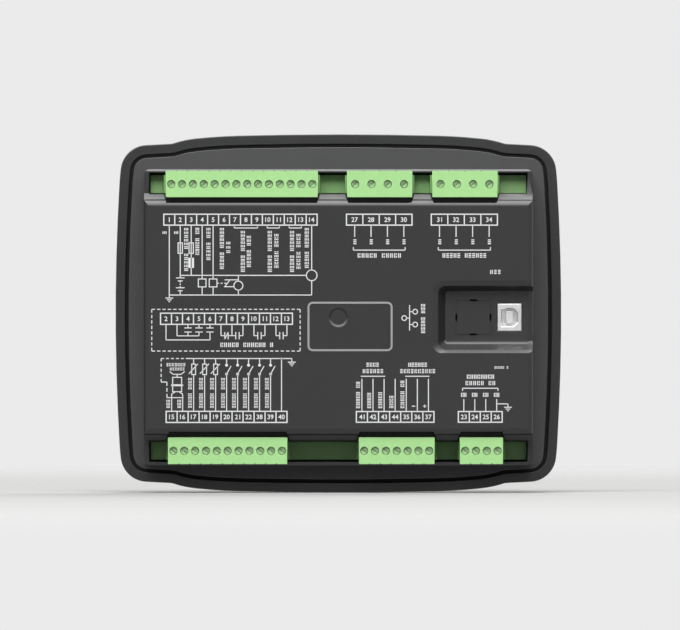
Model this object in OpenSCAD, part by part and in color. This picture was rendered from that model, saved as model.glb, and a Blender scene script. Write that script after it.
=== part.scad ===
// Genset controller: a panel-mounted control unit with plug-in screw terminals on its rear.
// Shapes are drawn in case coordinates: u to the right and v up as seen from the rear, w rearward.
// The panel's front face is w = 0. upright() then stands the unit as it is installed: v is +Z, w is -Y.

/* [Bezel] */
// Width over the bezel
bezel_w = 209; // [206:0.5:220]
// Height over the bezel
bezel_h = 168; // [165:0.5:180]
// Depth of the bezel in front of the panel
bezel_depth = 10; // [9.5:0.1:12]
// Radius of the crown along the top and bottom edges
crown_r = 1800; // [1500:10:2500]
// Half length of the crown
crown_len = 47; // [42:0.5:50]
// Radius of the shoulder at each end of the crown
shoulder_r = 255; // [200:5:300]
// Radius of the tight end of the shoulder
shoulder_end_r = 50; // [40:1:60]
// Radius of the hollow between a shoulder and its corner
hollow_r = 7; // [5:0.5:10]
// Radius of the corners
corner_r = 12.5; // [11:0.5:15]
// Radius that blends a corner into the side
blend_r = 105; // [80:5:130]
// Radius of the bulged sides
side_r = 1010; // [900:10:1300]
// Distance from the bezel's top and bottom to the ends of a side's bulge
side_end = 30; // [28:0.5:36]
// Width of the flat rim behind the bezel's edge
rim_w = 4.6; // [4:0.1:5.2]
// Rounding of the front edge
front_round = 1.6; // [1:0.1:1.7]
// Width of the raised border round the fascia
border_w = 3.5; // [3:0.1:5]
// Thickness of the front wall behind the fascia
front_wall = 2.2; // [1.8:0.1:2.6]
// Distance from the bezel's sides to the hollow behind the front wall
pocket_side = 12.5; // [11.5:0.25:13.5]
// Distance from the bezel's top and bottom to that hollow
pocket_end = 12; // [11.5:0.25:13]
// Corner radius of that hollow
pocket_r = 8; // [6:0.5:12]

/* [Front] */
// Depth of the fascia seat below the bezel's front edge
fascia_sink = 2; // [1.8:0.1:2.4]
// Thickness of the fascia
fascia_t = 0.6; // [0.4:0.1:1]
// Width of the display window
window_w = 92; // [80:1:96]
// Height of the display window
window_h = 54; // [46:1:56]
// Distance from the bezel's top to the window's middle
window_top = 66; // [62:0.5:68]
// Land round the window on which the lens lies
lens_land = 4; // [3:0.5:5]
// Width of the display's frame round its glass
lcd_frame = 3; // [2:0.5:4]
// Depth of the display's glass in its frame
glass_sink = 1; // [0.5:0.1:2]
// Diameter of a key
key_d = 14; // [12:0.5:16]
// Width of the square flange that keeps a key behind the wall
key_flange_w = 17.5; // [17:0.1:19]
// Thickness of that flange
key_flange_t = 1.2; // [1:0.1:1.4]
// Corner radius of that flange
key_flange_r = 2; // [1:0.1:3]
// Chamfer round the top of a key
key_edge = 0.6; // [0.3:0.05:0.8]
// How far a key stands proud of the fascia
key_proud = 1; // [0.9:0.05:1.3]
// Travel of a key
key_travel = 0.8; // [0.5:0.05:0.85]
// Depth of the finger dish in a key
key_dish = 0.4; // [0.2:0.05:0.6]
// Distance from the bezel's sides to the ends of the lower row of keys
key_row_side = 40.5; // [38:0.5:52]
// Distance from the bezel's bottom to the lower row of keys
key_row_up = 36; // [32:0.5:38]
// Distance from the bezel's sides to the menu keys and to the lights
menu_side = 32.5; // [30.5:0.5:34.5]
// Spacing of the menu keys
menu_pitch = 21; // [20:0.5:24]
// Diameter of a status light
light_d = 3; // [2.5:0.1:4]
// Spacing of the status lights
light_pitch = 14; // [10:0.5:16]
// Clearance round keys, lights, lens and fascia
front_clear = 0.4; // [0.3:0.05:0.6]

/* [Case] */
// Distance from the bezel's sides to the case
flange_side = 13.5; // [12.5:0.25:14.5]
// Distance from the bezel's top and bottom to the case, on average
flange_end = 14.65; // [14:0.05:15.5]
// Depth of the case behind the panel
case_depth = 35; // [33.5:0.1:40]
// How far the case sits below the bezel's middle
case_drop = 1.85; // [1:0.05:2.4]
// Wall of the case
case_wall = 1.75; // [1.4:0.05:2]
// Radius of the case's upright corners
case_r = 2.8; // [2:0.1:4]
// Thickness of the flange that lies on the panel
flange_t = 2.5; // [2:0.1:2.8]
// Width of the seal between the bezel and the flange
seal_w = 1.4; // [1:0.1:2.4]
// Depth of the seal below the panel face
seal_sink = 0.6; // [0.3:0.1:1]
// Width of the lower step round the flange's edge
flange_step_w = 1.5; // [1:0.1:3]
// Depth of that step
flange_step = 0.35; // [0.2:0.05:0.6]
// Height of the terminal ledges above the panel face
ledge_d = 20; // [19.5:0.1:22]
// Width of a terminal ledge
ledge_w = 11.5; // [11:0.1:11.8]
// Chamfer along the outer edge of a ledge
ledge_edge = 0.9; // [0.4:0.1:1.2]
// Bevel at the foot of the step
foot_bevel = 2.8; // [2:0.1:3]
// Radius of the round edge along the top of the step
step_edge = 3.2; // [2:0.1:3.4]
// Radius of the round edges along the sides of the raised back
side_edge = 2.6; // [2:0.1:3]
// Wall behind the step
step_wall = 3.6; // [3.4:0.1:4.2]
// End wall of a terminal slot
slot_end = 2.5; // [2.2:0.1:3]
// Diameter of the gate dimple in the back
dimple_d = 8.8; // [6:0.1:12]
// Depth of the gate dimple
dimple_t = 0.7; // [0.3:0.1:1]

/* [Interface recess] */
// Length of the recess floor from the case's side
recess_len = 41; // [39:0.5:43]
// Height of the recess floor
recess_h = 23.4; // [21:0.1:25]
// Height of the recess floor's middle above the case's middle
recess_v = 0.6; // [0:0.1:1.2]
// Depth of the recess
recess_depth = 7; // [6:0.1:8]
// Shallow shoulder round the recess
recess_shoulder = 2.3; // [1.5:0.1:3]
// Drop of that shoulder
shoulder_drop = 0.8; // [0.4:0.1:1.2]
// Overhang of the recess's left wall
recess_left = 3.4; // [2.5:0.1:4]
// Overhang of its upper wall
recess_top = 2.4; // [2:0.1:3]
// Bevel at the foot of its lower wall
recess_foot = 1.6; // [1:0.1:2]
// Overhang of its lower wall
recess_low = 2.5; // [2:0.1:3]
// Chamfer along the top of its lower wall
recess_lip = 1.5; // [1:0.1:2]
// Corner radius of the recess
recess_r = 4; // [2:0.5:5]
// Corner radius of the recess's floor
recess_floor_r = 1.5; // [1:0.1:2.5]
// Chamfer where the recess floor meets the case's side
recess_out = 2; // [1:0.1:2.5]
// Thickness of the recess floor
recess_floor = 2; // [1.6:0.1:2.4]
// Distance from the case's side to the knock-out's middle
knockout_side = 27.8; // [27.4:0.1:28.5]
// Side of the square network knock-out
knockout_w = 16; // [14:0.1:16.4]
// Length of a slit at a knock-out's side
slit_len = 3.3; // [2:0.1:5]
// Width of a slit
slit_w = 0.9; // [0.6:0.1:1.2]
// Width of the scored line round the knock-out
score_w = 0.3; // [0.2:0.05:0.5]
// Depth of the scored line
score_t = 0.4; // [0.2:0.1:0.8]
// Distance from the case's side to the data jack's middle
jack_side = 10.9; // [10.2:0.1:11.2]
// Width of the data jack
jack_w = 11.1; // [10.6:0.1:11.6]
// Height of the data jack
jack_h = 12.8; // [12:0.1:14]
// Width of the port in the jack
port_w = 7.8; // [7.4:0.1:8.2]
// Height of the port in the jack
port_h = 8.5; // [8:0.1:9]
// Clipped corners of the port
port_clip = 2; // [1.5:0.1:2.5]
// Depth of the port
port_depth = 9; // [8:0.1:9.5]
// Thickness of the tongue in the port
tongue_w = 3.2; // [2.8:0.1:3.6]
// Height of the tongue in the port
tongue_h = 5.7; // [5:0.1:6]
// Depth of the tongue's end below the jack's face
tongue_sink = 0.8; // [0.4:0.1:2]

/* [Terminals] */
// Pitch of the signal terminals
signal_pitch = 5.08; // [4.9:0.01:5.2]
// Pitch of the voltage terminals
voltage_pitch = 7.62; // [7.4:0.01:7.8]
// Poles of the output plug
output_poles = 14; // [12:1:15]
// Poles of each voltage plug
voltage_poles = 4; // [3:1:4]
// Poles of the input plug
input_poles = 11; // [9:1:12]
// Poles of the data plug
data_poles = 7; // [6:1:8]
// Poles of the current plug
current_poles = 4; // [3:1:4]
// Distance from the case's left side to the output plug's middle
output_side = 45.8; // [45:0.1:48]
// Distance from the case's middle to the generator voltage plug's middle
gens_u = 19.3; // [17:0.1:21]
// Distance from the case's middle to the mains voltage plug's middle
mains_u = 59.2; // [58:0.1:61]
// Distance from the case's left side to the input plug's middle
input_side = 39.2; // [38:0.1:41]
// Distance from the case's middle to the data plug's middle
data_u = 27.3; // [24:0.1:30]
// Distance from the case's right side to the current plug's middle
current_side = 24.1; // [23:0.1:26]
// Distance of a terminal row from the case's edge
row_in = 6.95; // [6.75:0.05:7.15]
// Width of a plug across its row
plug_w = 12.5; // [12:0.1:12.6]
// Height of a plug's face above the ledge
plug_rise = 12.5; // [12:0.1:14]
// Gap between a plug and the ledge
plug_gap = 0.6; // [0.3:0.1:1]
// Width of a plug's foot in its header
foot_w = 6.9; // [6.5:0.1:7]
// Diameter of a screw well
well_d = 3.8; // [3.7:0.05:4]
// Diameter of a terminal screw
screw_d = 3.3; // [3:0.05:3.4]
// Depth of a screw's head below the plug's face
screw_sink = 1.2; // [0.6:0.1:1.6]
// Length of a terminal screw
screw_len = 4.2; // [3.8:0.1:4.6]
// Width of a screw's driver slot
driver_w = 0.6; // [0.4:0.1:0.8]
// Depth of a screw's driver slot
driver_t = 0.8; // [0.5:0.1:1.2]
// Turn of the driver slots, in degrees
driver_turn = 40; // [0:5:180]
// Width of a wire entry
entry_w = 4; // [3.6:0.1:4.2]
// Height of a wire entry
entry_h = 4.8; // [4.4:0.1:5]
// Depth of a wire entry
entry_t = 10; // [9.6:0.1:10.4]
// Width of the groove between two poles on a plug's wire side
groove_w = 0.5; // [0.3:0.1:0.8]
// Depth of that groove
groove_t = 0.4; // [0.2:0.1:0.8]
// Thickness of a wire clamp's frame
clamp_t = 0.6; // [0.4:0.1:0.8]
// Length of a wire clamp
clamp_len = 5; // [4:0.1:5.4]
// Side of a header pin
pin_w = 1; // [0.8:0.05:1.1]
// How far a pin stops below its header's edge
pin_tip = 1.5; // [1:0.1:3]
// Width of a header
header_w = 8.6; // [8.4:0.1:8.8]
// Height of a header
header_h = 11; // [10:0.1:11.5]
// Height of a header between its plugs
header_low = 6; // [5:0.1:7]
// Floor of a header under a plug
header_floor = 3; // [2:0.1:3.5]
// End wall of a header beside a plug
header_end = 1; // [0.8:0.1:1.2]
// Gap between the ends of a header and of its slot
header_play = 0.5; // [0.3:0.1:1]
// Depth of a header's edge below the ledge
header_sink = 1; // [0.6:0.1:2]
// Clearance between a plug's foot and its header
foot_clear = 0.2; // [0.1:0.05:0.3]
// Depth of the notch in the step beside a plug
notch_t = 1.55; // [1.2:0.05:1.7]
// How far a notch runs past its plug on the ledge
notch_more = 0.7; // [0.6:0.1:2]
// How far a notch stops short of its plug on the back
notch_less = 0.5; // [0.3:0.1:1.4]

/* [Boards] */
// Thickness of a circuit board
board_t = 1.6; // [1.2:0.1:1.8]
// Clearance between a board's edge and the case
board_clear = 2.2; // [1.8:0.1:3]
// Depth from the front wall to the display board
display_space = 6; // [5.6:0.1:6.2]
// Diameter of a board screw's boss
boss_d = 7; // [6:0.1:8]
// Diameter of a board screw's shank
shank_d = 2.4; // [2:0.1:2.6]
// Diameter of a board screw's head
head_d = 5; // [4.5:0.1:5.5]
// Thickness of a board screw's head
head_t = 1.8; // [1.4:0.1:2]
// Length of a board screw's thread in its boss
thread_len = 5; // [4:0.1:5.2]
// Clearance round a board screw's shank
shank_clear = 0.1; // [0.05:0.01:0.2]
// Distance from the case's sides to the board screws
boss_side = 11; // [10:0.25:13]
// Distance from the case's top and bottom to the main board's screws
main_boss_end = 25.35; // [24.5:0.05:27]
// Distance from the case's top and bottom to the display board's screws
display_boss_end = 9.35; // [8.5:0.05:11]
// Side of a key switch
switch_w = 6; // [5:0.1:7]
// Diameter of a key switch's plunger
plunger_d = 3.4; // [3:0.1:4]
// Height of a key switch's plunger
plunger_h = 0.7; // [0.5:0.1:1]
// Free play between a pressed key and its switch
switch_play = 0.15; // [0.1:0.01:0.25]
// Length of a relay
relay_len = 19; // [16:0.5:20]
// Width of a relay
relay_w = 7.6; // [6:0.1:9]
// Height of a relay
relay_h = 15; // [12:0.5:17]
// Spacing of the relays
relay_pitch = 10.6; // [10:0.1:12]
// Number of relays
relay_count = 6; // [4:1:6]
// Gap between the relays and the wall behind the step
relay_gap = 5.95; // [2:0.05:8]
// Chamfer of a relay's cover
relay_edge = 1; // [0.5:0.1:1.5]
// Outer diameter of a current transformer
transformer_d = 17; // [14:0.5:18]
// Bore of a current transformer
transformer_bore = 6; // [5:0.1:8]
// Height of a current transformer
transformer_h = 9; // [7:0.5:11]
// Gap between the current transformers
transformer_gap = 1.5; // [1:0.1:3]
// Chamfer of a current transformer's edge
transformer_edge = 1.2; // [0.5:0.1:2]
// Diameter of a storage capacitor
capacitor_d = 10; // [8:0.5:12]
// Height of a storage capacitor
capacitor_h = 16; // [12:0.5:18]
// Spacing of the storage capacitors
capacitor_pitch = 14; // [13:0.5:18]
// Height of a storage capacitor's crimp
capacitor_crimp = 2.5; // [2:0.1:4]
// Rounding of a storage capacitor's edges
capacitor_edge = 0.8; // [0.4:0.1:1]
// Side of the processor
processor_w = 16; // [12:0.5:20]
// Thickness of the processor
processor_t = 1.4; // [1:0.1:2]
// Height of the data jack's own board above the main board
riser_h = 7.4; // [6.5:0.1:8]
// How much taller that board is than the recess floor
riser_margin = 6; // [5.2:0.1:8]
// Length of the connectors under that board
riser_link_len = 24; // [18:0.5:30]
// Width of a board connector
link_t = 5; // [4:0.1:5]
// Length of the connector between the main and display boards
board_link_len = 40; // [30:0.5:50]
// How far that connector sits below the case's middle
board_link_drop = 32; // [28:0.5:36]

/* [Snap fits] */
// Length of a snap tab
tab_len = 12; // [8:0.5:14]
// Thickness of a snap tab
tab_t = 1.6; // [1.4:0.1:1.7]
// Depth of a snap tab below the flange
tab_depth = 2.8; // [2.6:0.05:2.9]
// Reach of a snap tab's barb
barb = 0.7; // [0.4:0.05:0.9]
// Clearance round a snap tab
tab_clear = 0.2; // [0.15:0.05:0.3]
// Distance of the side tabs from the unit's middle
side_tab_v = 40; // [30:0.5:46]
// Distance of the upper and lower tabs from the unit's middle
long_tab_u = 50; // [40:0.5:60]
// Length of a fixing-clip slot in the case's side
clip_len = 12; // [8:0.5:14]
// Height of a fixing-clip slot
clip_h = 3.4; // [2.5:0.1:4]
// Distance of the fixing-clip slots from the case's middle
clip_v = 35; // [30:0.5:38]
// Height of the fixing-clip slots above the panel face
clip_w = 13; // [12:0.1:14]

/* [Hidden] */
$fn = 48;
over = 1;

// Depth levels, from the front to the rear
front_w = -bezel_depth;
fascia_back = front_w + fascia_sink;
fascia_front = fascia_back - fascia_t;
wall_back = fascia_back + front_wall;
key_top = fascia_front - key_proud;
key_gap = 0.1;
key_flange_front = wall_back + key_gap;
key_flange_back = key_flange_front + key_flange_t;
plunger_top = key_flange_back + key_travel + switch_play;
display_front = wall_back + display_space;
display_back = display_front + board_t;
header_top = ledge_d - header_sink;
main_back = header_top - header_h;
main_front = main_back - board_t;
riser_front = main_back + riser_h;
riser_back = riser_front + board_t;
recess_w = case_depth - recess_depth;
plug_face = ledge_d + plug_rise;
plug_foot_w = main_back + header_floor + foot_clear;
entry_back = plug_face - screw_sink - screw_len;
clamp_gap = 0.1;

// Case sizes, measured from the case's own middle
case_w = bezel_w - 2 * flange_side;
case_h = bezel_h - 2 * flange_end;
case_v = -case_drop;
half_w = case_w / 2;
half_h = case_h / 2;
ledge_in = half_h - ledge_w;
step_face = ledge_in - foot_bevel;
back_half_h = step_face - step_edge;
in_step = step_face - step_wall;
slot_half = half_w - slot_end;
row_v = half_h - row_in;
boss_u = half_w - boss_side;
main_boss_v = half_h - main_boss_end;
display_boss_v = half_h - display_boss_end;
recess_u = half_w - recess_len;
knockout_u = half_w - knockout_side;
jack_u = half_w - jack_side;
output_u = output_side - half_w;
input_u = input_side - half_w;
current_u = half_w - current_side;
pocket_w = bezel_w - 2 * pocket_side;
pocket_h = bezel_h - 2 * pocket_end;
window_v = bezel_h / 2 - window_top;
menu_u = bezel_w / 2 - menu_side;
key_row_v = key_row_up - bezel_h / 2;
row_keys_n = 5;
key_pitch = (bezel_w - 2 * key_row_side) / (row_keys_n - 1);
seal_out = rim_w;
flange_edge = rim_w + seal_w;

// Headings of the outline's arcs, in degrees below the horizontal
crown_a = asin(crown_len / crown_r);
side_len = bezel_h / 2 - side_end;
shoulder_a = 6;
fall_a = 18;
ear_a = 3;
corner_a = 83;
side_a = 90 - asin(side_len / side_r);
// Arcs of a quarter outline from the top's middle to the side's: radius, first and last heading, chords
ARCS = [
  [crown_r, 0, crown_a, 4],
  [shoulder_r, crown_a, shoulder_a, 3],
  [shoulder_end_r, shoulder_a, fall_a, 4],
  [-hollow_r, fall_a, ear_a, 3],
  [corner_r, ear_a, corner_a, 10],
  [blend_r, corner_a, side_a, 2],
  [side_r, side_a, 90, 6]
];
CORNER = 4;
SIDE = 6;
function arc_step(r, a0, a1) = r * [sin(a1) - sin(a0), cos(a1) - cos(a0)];
function heading(a) = [cos(a), -sin(a)];
function total(list, i = 0) = i < len(list) ? list[i] + total(list, i + 1) : [0, 0];
// What the arcs leave to the two straight runs, before the corner and before the side
short_by = [bezel_w, -bezel_h] / 2 - total([for (a = ARCS) arc_step(a[0], a[1], a[2])]);
turn = sin(side_a - ear_a);
ear_run = (short_by.x * sin(side_a) + short_by.y * cos(side_a)) / turn;
side_run = -(short_by.x * sin(ear_a) + short_by.y * cos(ear_a)) / turn;
function lead(i) = i == CORNER ? ear_run : i == SIDE ? side_run : 0;
function arc_start(i, inset) = i == 0
  ? [0, bezel_h / 2 - inset]
  : arc_end(i - 1, inset) + lead(i) * heading(ARCS[i][1]);
function arc_end(i, inset) =
  arc_start(i, inset) + arc_step(ARCS[i][0] - inset, ARCS[i][1], ARCS[i][2]);
function arc_points(i, inset) =
  let (start = arc_start(i, inset), r = ARCS[i][0] - inset, a0 = ARCS[i][1], sweep = ARCS[i][2] - a0)
  [for (k = [lead(i) > 0 || i == 0 ? 0 : 1 : ARCS[i][3]])
    start + arc_step(r, a0, a0 + sweep * k / ARCS[i][3])];
function quarter(inset) = [for (i = [0 : len(ARCS) - 1]) each arc_points(i, inset)];
// The whole outline, clockwise from the top's middle, moved inwards by inset
function outline(inset) =
  let (q = quarter(inset), last = len(q) - 1)
  concat(
    [for (i = [0 : last]) q[i]],
    [for (i = [last - 1 : -1 : 0]) [q[i].x, -q[i].y]],
    [for (i = [1 : last]) [-q[i].x, -q[i].y]],
    [for (i = [last - 1 : -1 : 1]) [-q[i].x, q[i].y]]
  );

// Places of the keys and lights, seen from the rear, so the row runs from the viewer's right to left
row_keys = [for (i = [0 : row_keys_n - 1]) [bezel_w / 2 - key_row_side - i * key_pitch, key_row_v]];
menu_keys = [for (i = [1 : -1 : -1]) [-menu_u, window_v + i * menu_pitch]];
KEYS = concat(row_keys, menu_keys);
LIGHTS = [for (i = [-1.5 : 1 : 1.5]) [menu_u, window_v + i * light_pitch]];

// Plugs of a row: middle, poles and pitch
UPPER = [
  [output_u, output_poles, signal_pitch],
  [gens_u, voltage_poles, voltage_pitch],
  [mains_u, voltage_poles, voltage_pitch]
];
LOWER = [
  [input_u, input_poles, signal_pitch],
  [data_u, data_poles, signal_pitch],
  [current_u, current_poles, signal_pitch]
];
function plug_len(p) = p[1] * p[2];
function pole_u(p) = [for (i = [0 : p[1] - 1]) p[0] + (i - (p[1] - 1) / 2) * p[2]];
function row_poles(row) = [for (p = row) each pole_u(p)];

BLACK = [0.06, 0.06, 0.065];
CASE = [0.15, 0.15, 0.155];
GREEN = [0.55, 0.8, 0.45];
BOARD = [0.05, 0.3, 0.15];
STEEL = [0.75, 0.76, 0.78];

// Turns case coordinates into the installed unit
module upright() {
  rotate([90, 0, 0])
    children();
}

// Moves to the case's middle
module at_case() {
  translate([0, case_v, 0])
    children();
}

// Draws a terminal row at its place: the upper one as it is, the lower one mirrored
module row_at(upper) {
  at_case()
    mirror([0, upper ? 0 : 1, 0])
      translate([0, row_v, 0])
        children();
}

// A flat shape from depth w0 to depth w1
module slab(w0, w1) {
  translate([0, 0, w0])
    linear_extrude(w1 - w0)
      children();
}

// A box with its middle at [u, v], from depth w0 to depth w1
module block(at, size, w0, w1) {
  translate([at.x, at.y, 0])
    slab(w0, w1)
      square(size, center = true);
}

// A round peg at [u, v] from depth w0 to depth w1
module peg(at, d, w0, w1) {
  translate([at.x, at.y, w0])
    cylinder(d = d, h = w1 - w0);
}

// A rectangle with round corners
module round_rect(w, h, r) {
  square([w - 2 * r, h], center = true);
  square([w, h - 2 * r], center = true);
  for (x = [-1, 1], y = [-1, 1])
    translate([x * (w / 2 - r), y * (h / 2 - r)])
      circle(r);
}

// A (v, w) profile drawn along u
module along_u(u0, u1, points) {
  translate([u0, 0, 0])
    rotate([90, 0, 90])
      linear_extrude(u1 - u0)
        polygon(points);
}

// A (u, w) profile drawn along v
module along_v(v0, v1, points) {
  translate([0, v1, 0])
    rotate([90, 0, 0])
      linear_extrude(v1 - v0)
        polygon(points);
}

// The bezel's outline, moved inwards
module outline_shape(inset) {
  polygon(outline(inset));
}

// The raised border round the fascia: rings of the outline round a closed section with a round outer edge
module front_border() {
  steps = 3;
  curve = [for (k = [0 : steps]) let (a = 90 * k / steps)
    [front_round * (1 - cos(a)), front_w + front_round * (1 - sin(a))]];
  section = concat([[0, fascia_back]], curve, [[border_w, front_w], [border_w, fascia_back]]);
  rows = len(section);
  n = len(outline(0));
  points = [for (s = section) for (p = outline(s[0])) [p.x, p.y, s[1]]];
  faces = [for (k = [0 : rows - 1], i = [0 : n - 1])
    let (next = (k + 1) % rows, j = (i + 1) % n)
    [k * n + i, next * n + i, next * n + j, k * n + j]];
  polyhedron(points, faces);
}

// The openings of the front wall, grown by a margin
module key_openings(margin) {
  for (k = KEYS)
    translate(k)
      circle(d = key_d + 2 * margin);
  for (l = LIGHTS)
    translate(l)
      circle(d = light_d + 2 * margin);
}

// A snap tab with its outer face at v = 0, reaching down from the flange
module snap_tab(len, grow = 0) {
  foot = -flange_t - tab_depth - grow;
  along_u(-len / 2 - grow, len / 2 + grow, [
    [-tab_t, -flange_t + over / 2],
    [0, -flange_t + over / 2],
    [0, foot + 2 * barb + grow],
    [barb + grow, foot + barb + grow],
    [barb + grow, foot],
    [-tab_t, foot]
  ]);
}

// Places a snap tab on each wall of the bezel's hollow
module at_tabs() {
  for (x = [-1, 1])
    translate([x * long_tab_u, 0, 0])
      for (s = [0, 180])
        rotate([0, 0, s])
          translate([0, pocket_h / 2 - tab_clear, 0])
            children();
  for (y = [-1, 1])
    translate([0, y * side_tab_v, 0])
      for (s = [90, -90])
        rotate([0, 0, s])
          translate([0, pocket_w / 2 - tab_clear, 0])
            children();
}

display_posts = [for (x = [-1, 1], y = [-1, 1]) [x * boss_u, case_v + y * display_boss_v]];
main_posts = [for (x = [-1, 1], y = [-1, 1]) [x * boss_u, case_v + y * main_boss_v]];

module front_bezel() {
  color(CASE)
    upright()
      difference() {
        union() {
          difference() {
            union() {
              slab(fascia_back, 0)
                outline_shape(0);
              front_border();
            }
            slab(-flange_t, over)
              outline_shape(rim_w);
            slab(wall_back, over)
              round_rect(pocket_w, pocket_h, pocket_r);
          }
          for (p = display_posts)
            peg(p, boss_d, wall_back - front_wall / 2, display_front);
        }
        slab(fascia_back - over, wall_back + over) {
          translate([0, window_v])
            square([window_w, window_h], center = true);
          key_openings(front_clear);
        }
        for (p = display_posts)
          peg(p, shank_d + 2 * shank_clear, display_front - thread_len - shank_clear, display_front + over);
        at_tabs()
          snap_tab(tab_len, tab_clear);
      }
}

module front_fascia() {
  color(BLACK)
    upright()
      slab(fascia_front, fascia_back)
        difference() {
          outline_shape(border_w + front_clear / 2);
          translate([0, window_v])
            square([window_w + 2 * lens_land, window_h + 2 * lens_land], center = true);
          key_openings(front_clear);
        }
}

module display_lens() {
  color([0.5, 0.55, 0.55, 0.5])
    upright()
      block([0, window_v], [window_w, window_h] + (2 * lens_land - front_clear) * [1, 1],
        fascia_front, fascia_back);
}

module lcd_module() {
  color([0.45, 0.5, 0.42])
    upright()
      difference() {
        block([0, window_v], [window_w, window_h] + 2 * lcd_frame * [1, 1], wall_back, display_front);
        block([0, window_v], [window_w, window_h], wall_back - over, wall_back + glass_sink);
      }
}

module display_board() {
  inner = [case_w, case_h] - 2 * (case_wall + board_clear) * [1, 1];
  color(BOARD)
    upright()
      difference() {
        block([0, case_v], inner, display_front, display_back);
        for (p = display_posts)
          peg(p, shank_d + 2 * shank_clear, display_front - over, display_back + over);
      }
}

// A pan-head screw through a board: its head on the face at w, its shank towards the front or the rear
module board_screw(at, w, rearward) {
  translate([at.x, at.y, w])
    mirror([0, 0, rearward ? 0 : 1]) {
      cylinder(d = shank_d, h = board_t + thread_len);
      translate([0, 0, -head_t])
        difference() {
          cylinder(d1 = head_d - head_t / 2, d2 = head_d, h = head_t);
          translate([0, 0, head_t / 4])
            cube([head_d, driver_w, head_t], center = true);
        }
    }
}

module display_screws() {
  color(STEEL)
    upright()
      for (p = display_posts)
        board_screw(p, display_back, false);
}

module status_lights() {
  dome = light_d / 2;
  color([0.9, 0.75, 0.2])
    upright()
      for (l = LIGHTS)
        translate([l.x, l.y, fascia_front + dome]) {
          cylinder(d = light_d, h = display_front - fascia_front - dome);
          sphere(dome);
        }
}

module key_switches() {
  color(BLACK)
    upright()
      for (k = KEYS) {
        block(k, [switch_w, switch_w], plunger_top + plunger_h, display_front);
        peg(k, plunger_d, plunger_top, display_front);
      }
}

// A key: a dished round cap on a square flange that stays behind the front wall
module key(i, shade) {
  r = key_d / 2;
  dish_r = r - 2 * key_edge;
  steps = 6;
  dish = [for (k = [steps : -1 : 0]) let (x = k / steps) [dish_r * x, key_top + key_dish * (1 - x * x)]];
  color(shade)
    upright()
      translate([KEYS[i].x, KEYS[i].y, 0]) {
        rotate_extrude()
          polygon(concat(
            [[0, key_flange_front], [r, key_flange_front], [r, key_top + key_edge], [r - key_edge, key_top]],
            dish
          ));
        slab(key_flange_front, key_flange_back)
          round_rect(key_flange_w, key_flange_w, key_flange_r);
      }
}

module key_stop() {
  key(0, "firebrick");
}

module key_manual() {
  key(1, "dimgray");
}

module key_test() {
  key(2, "dimgray");
}

module key_auto() {
  key(3, "dimgray");
}

module key_start() {
  key(4, "seagreen");
}

module key_up() {
  key(5, "dimgray");
}

module key_confirm() {
  key(6, "dimgray");
}

module key_down() {
  key(7, "dimgray");
}

// A quarter round about a middle, clockwise from the heading a0
function round_edge(middle, r, a0) =
  let (chords = 9)
  [for (k = [0 : chords]) let (a = a0 - 90 * k / chords) middle + r * [cos(a), sin(a)]];

// The case's stepped outside, as the overlap of its two profiles and its plan
module case_outside() {
  step_top = case_depth - step_edge;
  side_top = case_depth - side_edge;
  intersection() {
    along_u(-half_w, half_w, [
      [-half_h, -flange_t],
      [-half_h, ledge_d - ledge_edge],
      [-half_h + ledge_edge, ledge_d],
      [-ledge_in, ledge_d],
      [-step_face, ledge_d + foot_bevel],
      each round_edge([-back_half_h, step_top], step_edge, 180),
      each round_edge([back_half_h, step_top], step_edge, 90),
      [step_face, ledge_d + foot_bevel],
      [ledge_in, ledge_d],
      [half_h - ledge_edge, ledge_d],
      [half_h, ledge_d - ledge_edge],
      [half_h, -flange_t]
    ]);
    along_v(-half_h, half_h, [
      [-half_w, -flange_t],
      each round_edge([side_edge - half_w, side_top], side_edge, 180),
      each round_edge([half_w - side_edge, side_top], side_edge, 90),
      [half_w, -flange_t]
    ]);
    slab(-flange_t, case_depth)
      round_rect(case_w, case_h, case_r);
  }
}

// The case's hollow, one wall inside its outside
module case_hollow() {
  in_w = half_w - case_wall;
  in_h = half_h - case_wall;
  in_back = case_depth - case_wall;
  mouth = -flange_t - over;
  intersection() {
    along_u(-in_w, in_w, [
      [-in_h, mouth],
      [-in_h, ledge_d - case_wall],
      [-in_step, ledge_d - case_wall],
      [-in_step, in_back],
      [in_step, in_back],
      [in_step, ledge_d - case_wall],
      [in_h, ledge_d - case_wall],
      [in_h, mouth]
    ]);
    along_v(-in_h, in_h, [
      [-in_w, mouth],
      [-in_w, in_back - side_edge],
      [side_edge - in_w, in_back],
      [in_w - side_edge, in_back],
      [in_w, in_back - side_edge],
      [in_w, mouth]
    ]);
  }
}

recess_lo = recess_v - recess_h / 2;
recess_hi = recess_v + recess_h / 2;
recess_far_lo = recess_lo - recess_foot - recess_low - recess_lip;
recess_far_hi = recess_hi + recess_top + recess_shoulder;
recess_far_u = recess_u - recess_left - recess_shoulder;

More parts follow.
